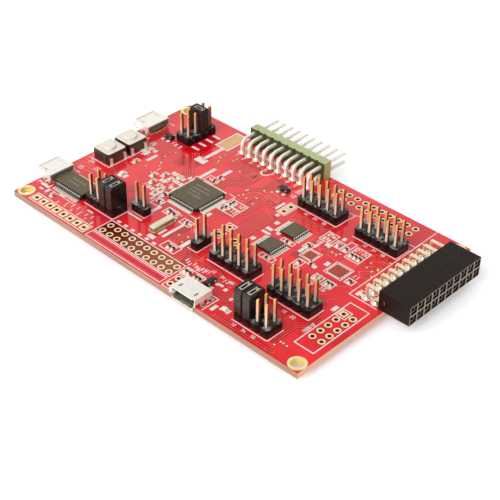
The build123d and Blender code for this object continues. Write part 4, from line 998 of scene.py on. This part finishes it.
def floor_finish(lift):
    """Pale matte floor; what the camera and clear or shiny surfaces see of it glows a little, by lift."""
    material, tree, shader, coords = new_material("studio_floor")
    colour = tones(tree, noise(tree, coords, 6.0), ((0.93, 0.93, 0.94), (0.96, 0.96, 0.97)))
    tree.links.new(colour, shader.inputs["Base Color"])
    shader.inputs["Roughness"].default_value = 0.9
    shader.inputs["Specular IOR Level"].default_value = 0.2
    path = tree.nodes.new("ShaderNodeLightPath")
    either = path.outputs["Is Camera Ray"]
    for other in ("Is Glossy Ray", "Is Transmission Ray"):
        either = calculate(tree, "MAXIMUM", either, path.outputs[other])
    tree.links.new(colour, shader.inputs["Emission Color"])
    tree.links.new(calculate(tree, "MULTIPLY", either, lift), shader.inputs["Emission Strength"])
    return material


FLOOR_LIFT = 0.35
FLOOR_GAP = 0.00003  # keeps the floor clear of the pin tails, which end in the lowest plane
FLOOR_Z = cad_box[0].z - FLOOR_GAP
FLOOR_REACH = 3.0
floor_corners = [(x * FLOOR_REACH, y * FLOOR_REACH, FLOOR_Z) for x, y in ((-1, -1), (1, -1), (1, 1), (-1, 1))]
stage_mesh("floor", floor_corners, floor_finish(FLOOR_LIFT))


def studio_world():
    """Studio walls that light the object, and plain white for the camera itself."""
    world = bpy.data.worlds.new("studio")
    bpy.context.scene.world = world
    world.use_nodes = True
    tree = world.node_tree
    tree.nodes.clear()
    output = tree.nodes.new("ShaderNodeOutputWorld")
    coords = tree.nodes.new("ShaderNodeTexCoord")
    # bright up to 34 degrees above the horizon, dimmest at 40, half as bright overhead; weaker on the right
    bright, dim, overhead = (1.15, 1.14, 1.09), (0.25, 0.25, 0.26), (0.55, 0.55, 0.56)
    stops = [(0.0, bright), (0.56, bright), (0.64, dim), (0.75, overhead)]
    walls = tree.nodes.new("ShaderNodeBackground")
    tree.links.new(ramp(tree, along(tree, coords, "Generated", "Z"), stops), walls.inputs["Color"])
    strength = remap(tree, along(tree, coords, "Generated", "X"), to=(1.0, 0.55), start=(0.1, 0.8))
    tree.links.new(strength, walls.inputs["Strength"])
    backdrop = tree.nodes.new("ShaderNodeBackground")
    backdrop.inputs["Color"].default_value = (1.0, 1.0, 1.0, 1.0)
    backdrop.inputs["Strength"].default_value = 1.0
    path = tree.nodes.new("ShaderNodeLightPath")
    either = tree.nodes.new("ShaderNodeMixShader")
    tree.links.new(path.outputs["Is Camera Ray"], either.inputs["Fac"])
    tree.links.new(walls.outputs["Background"], either.inputs[1])
    tree.links.new(backdrop.outputs["Background"], either.inputs[2])
    tree.links.new(either.outputs["Shader"], output.inputs["Surface"])


studio_world()


def area_light(name, place, target, width, power):
    """A square white lamp turned towards a point."""
    lamp = bpy.data.lights.new(name, "AREA")
    lamp.size = width
    lamp.energy = power
    piece = bpy.data.objects.new(name, lamp)
    bpy.context.scene.collection.objects.link(piece)
    piece.location = place
    piece.rotation_euler = (Vector(target) - Vector(place)).to_track_quat("-Z", "Y").to_euler()


area_light("key", place=(0.05, -0.55, 0.50), target=(0, 0, 0), width=0.5, power=3.3)

# fitted to the holes and the edges of the board in the photograph
CAMERA_PLACE = Vector((0.162626, -0.165322, 0.164923))
CAMERA_TARGET = Vector((0.01115, -0.00645, 0.0016))
CAMERA_ROLL = math.radians(0.7186)
LENS_MM = 85.5
SENSOR_MM = 36.0
NEAREST = 0.01
camera_data = bpy.data.cameras.new("camera")
camera_data.lens = LENS_MM
camera_data.sensor_width = SENSOR_MM
camera_data.clip_start = NEAREST
camera = bpy.data.objects.new("camera", camera_data)
bpy.context.scene.collection.objects.link(camera)
forward = (CAMERA_TARGET - CAMERA_PLACE).normalized()
right = forward.cross(Vector((0, 0, 1))).normalized()
up = right.cross(forward)
rolled_right = math.cos(CAMERA_ROLL) * right + math.sin(CAMERA_ROLL) * up
rolled_up = -math.sin(CAMERA_ROLL) * right + math.cos(CAMERA_ROLL) * up
rotation = Matrix((rolled_right, rolled_up, -forward)).transposed().to_4x4()
camera.matrix_world = Matrix.Translation(CAMERA_PLACE) @ rotation
bpy.context.scene.camera = camera
bpy.context.scene.view_settings.view_transform = "Standard"
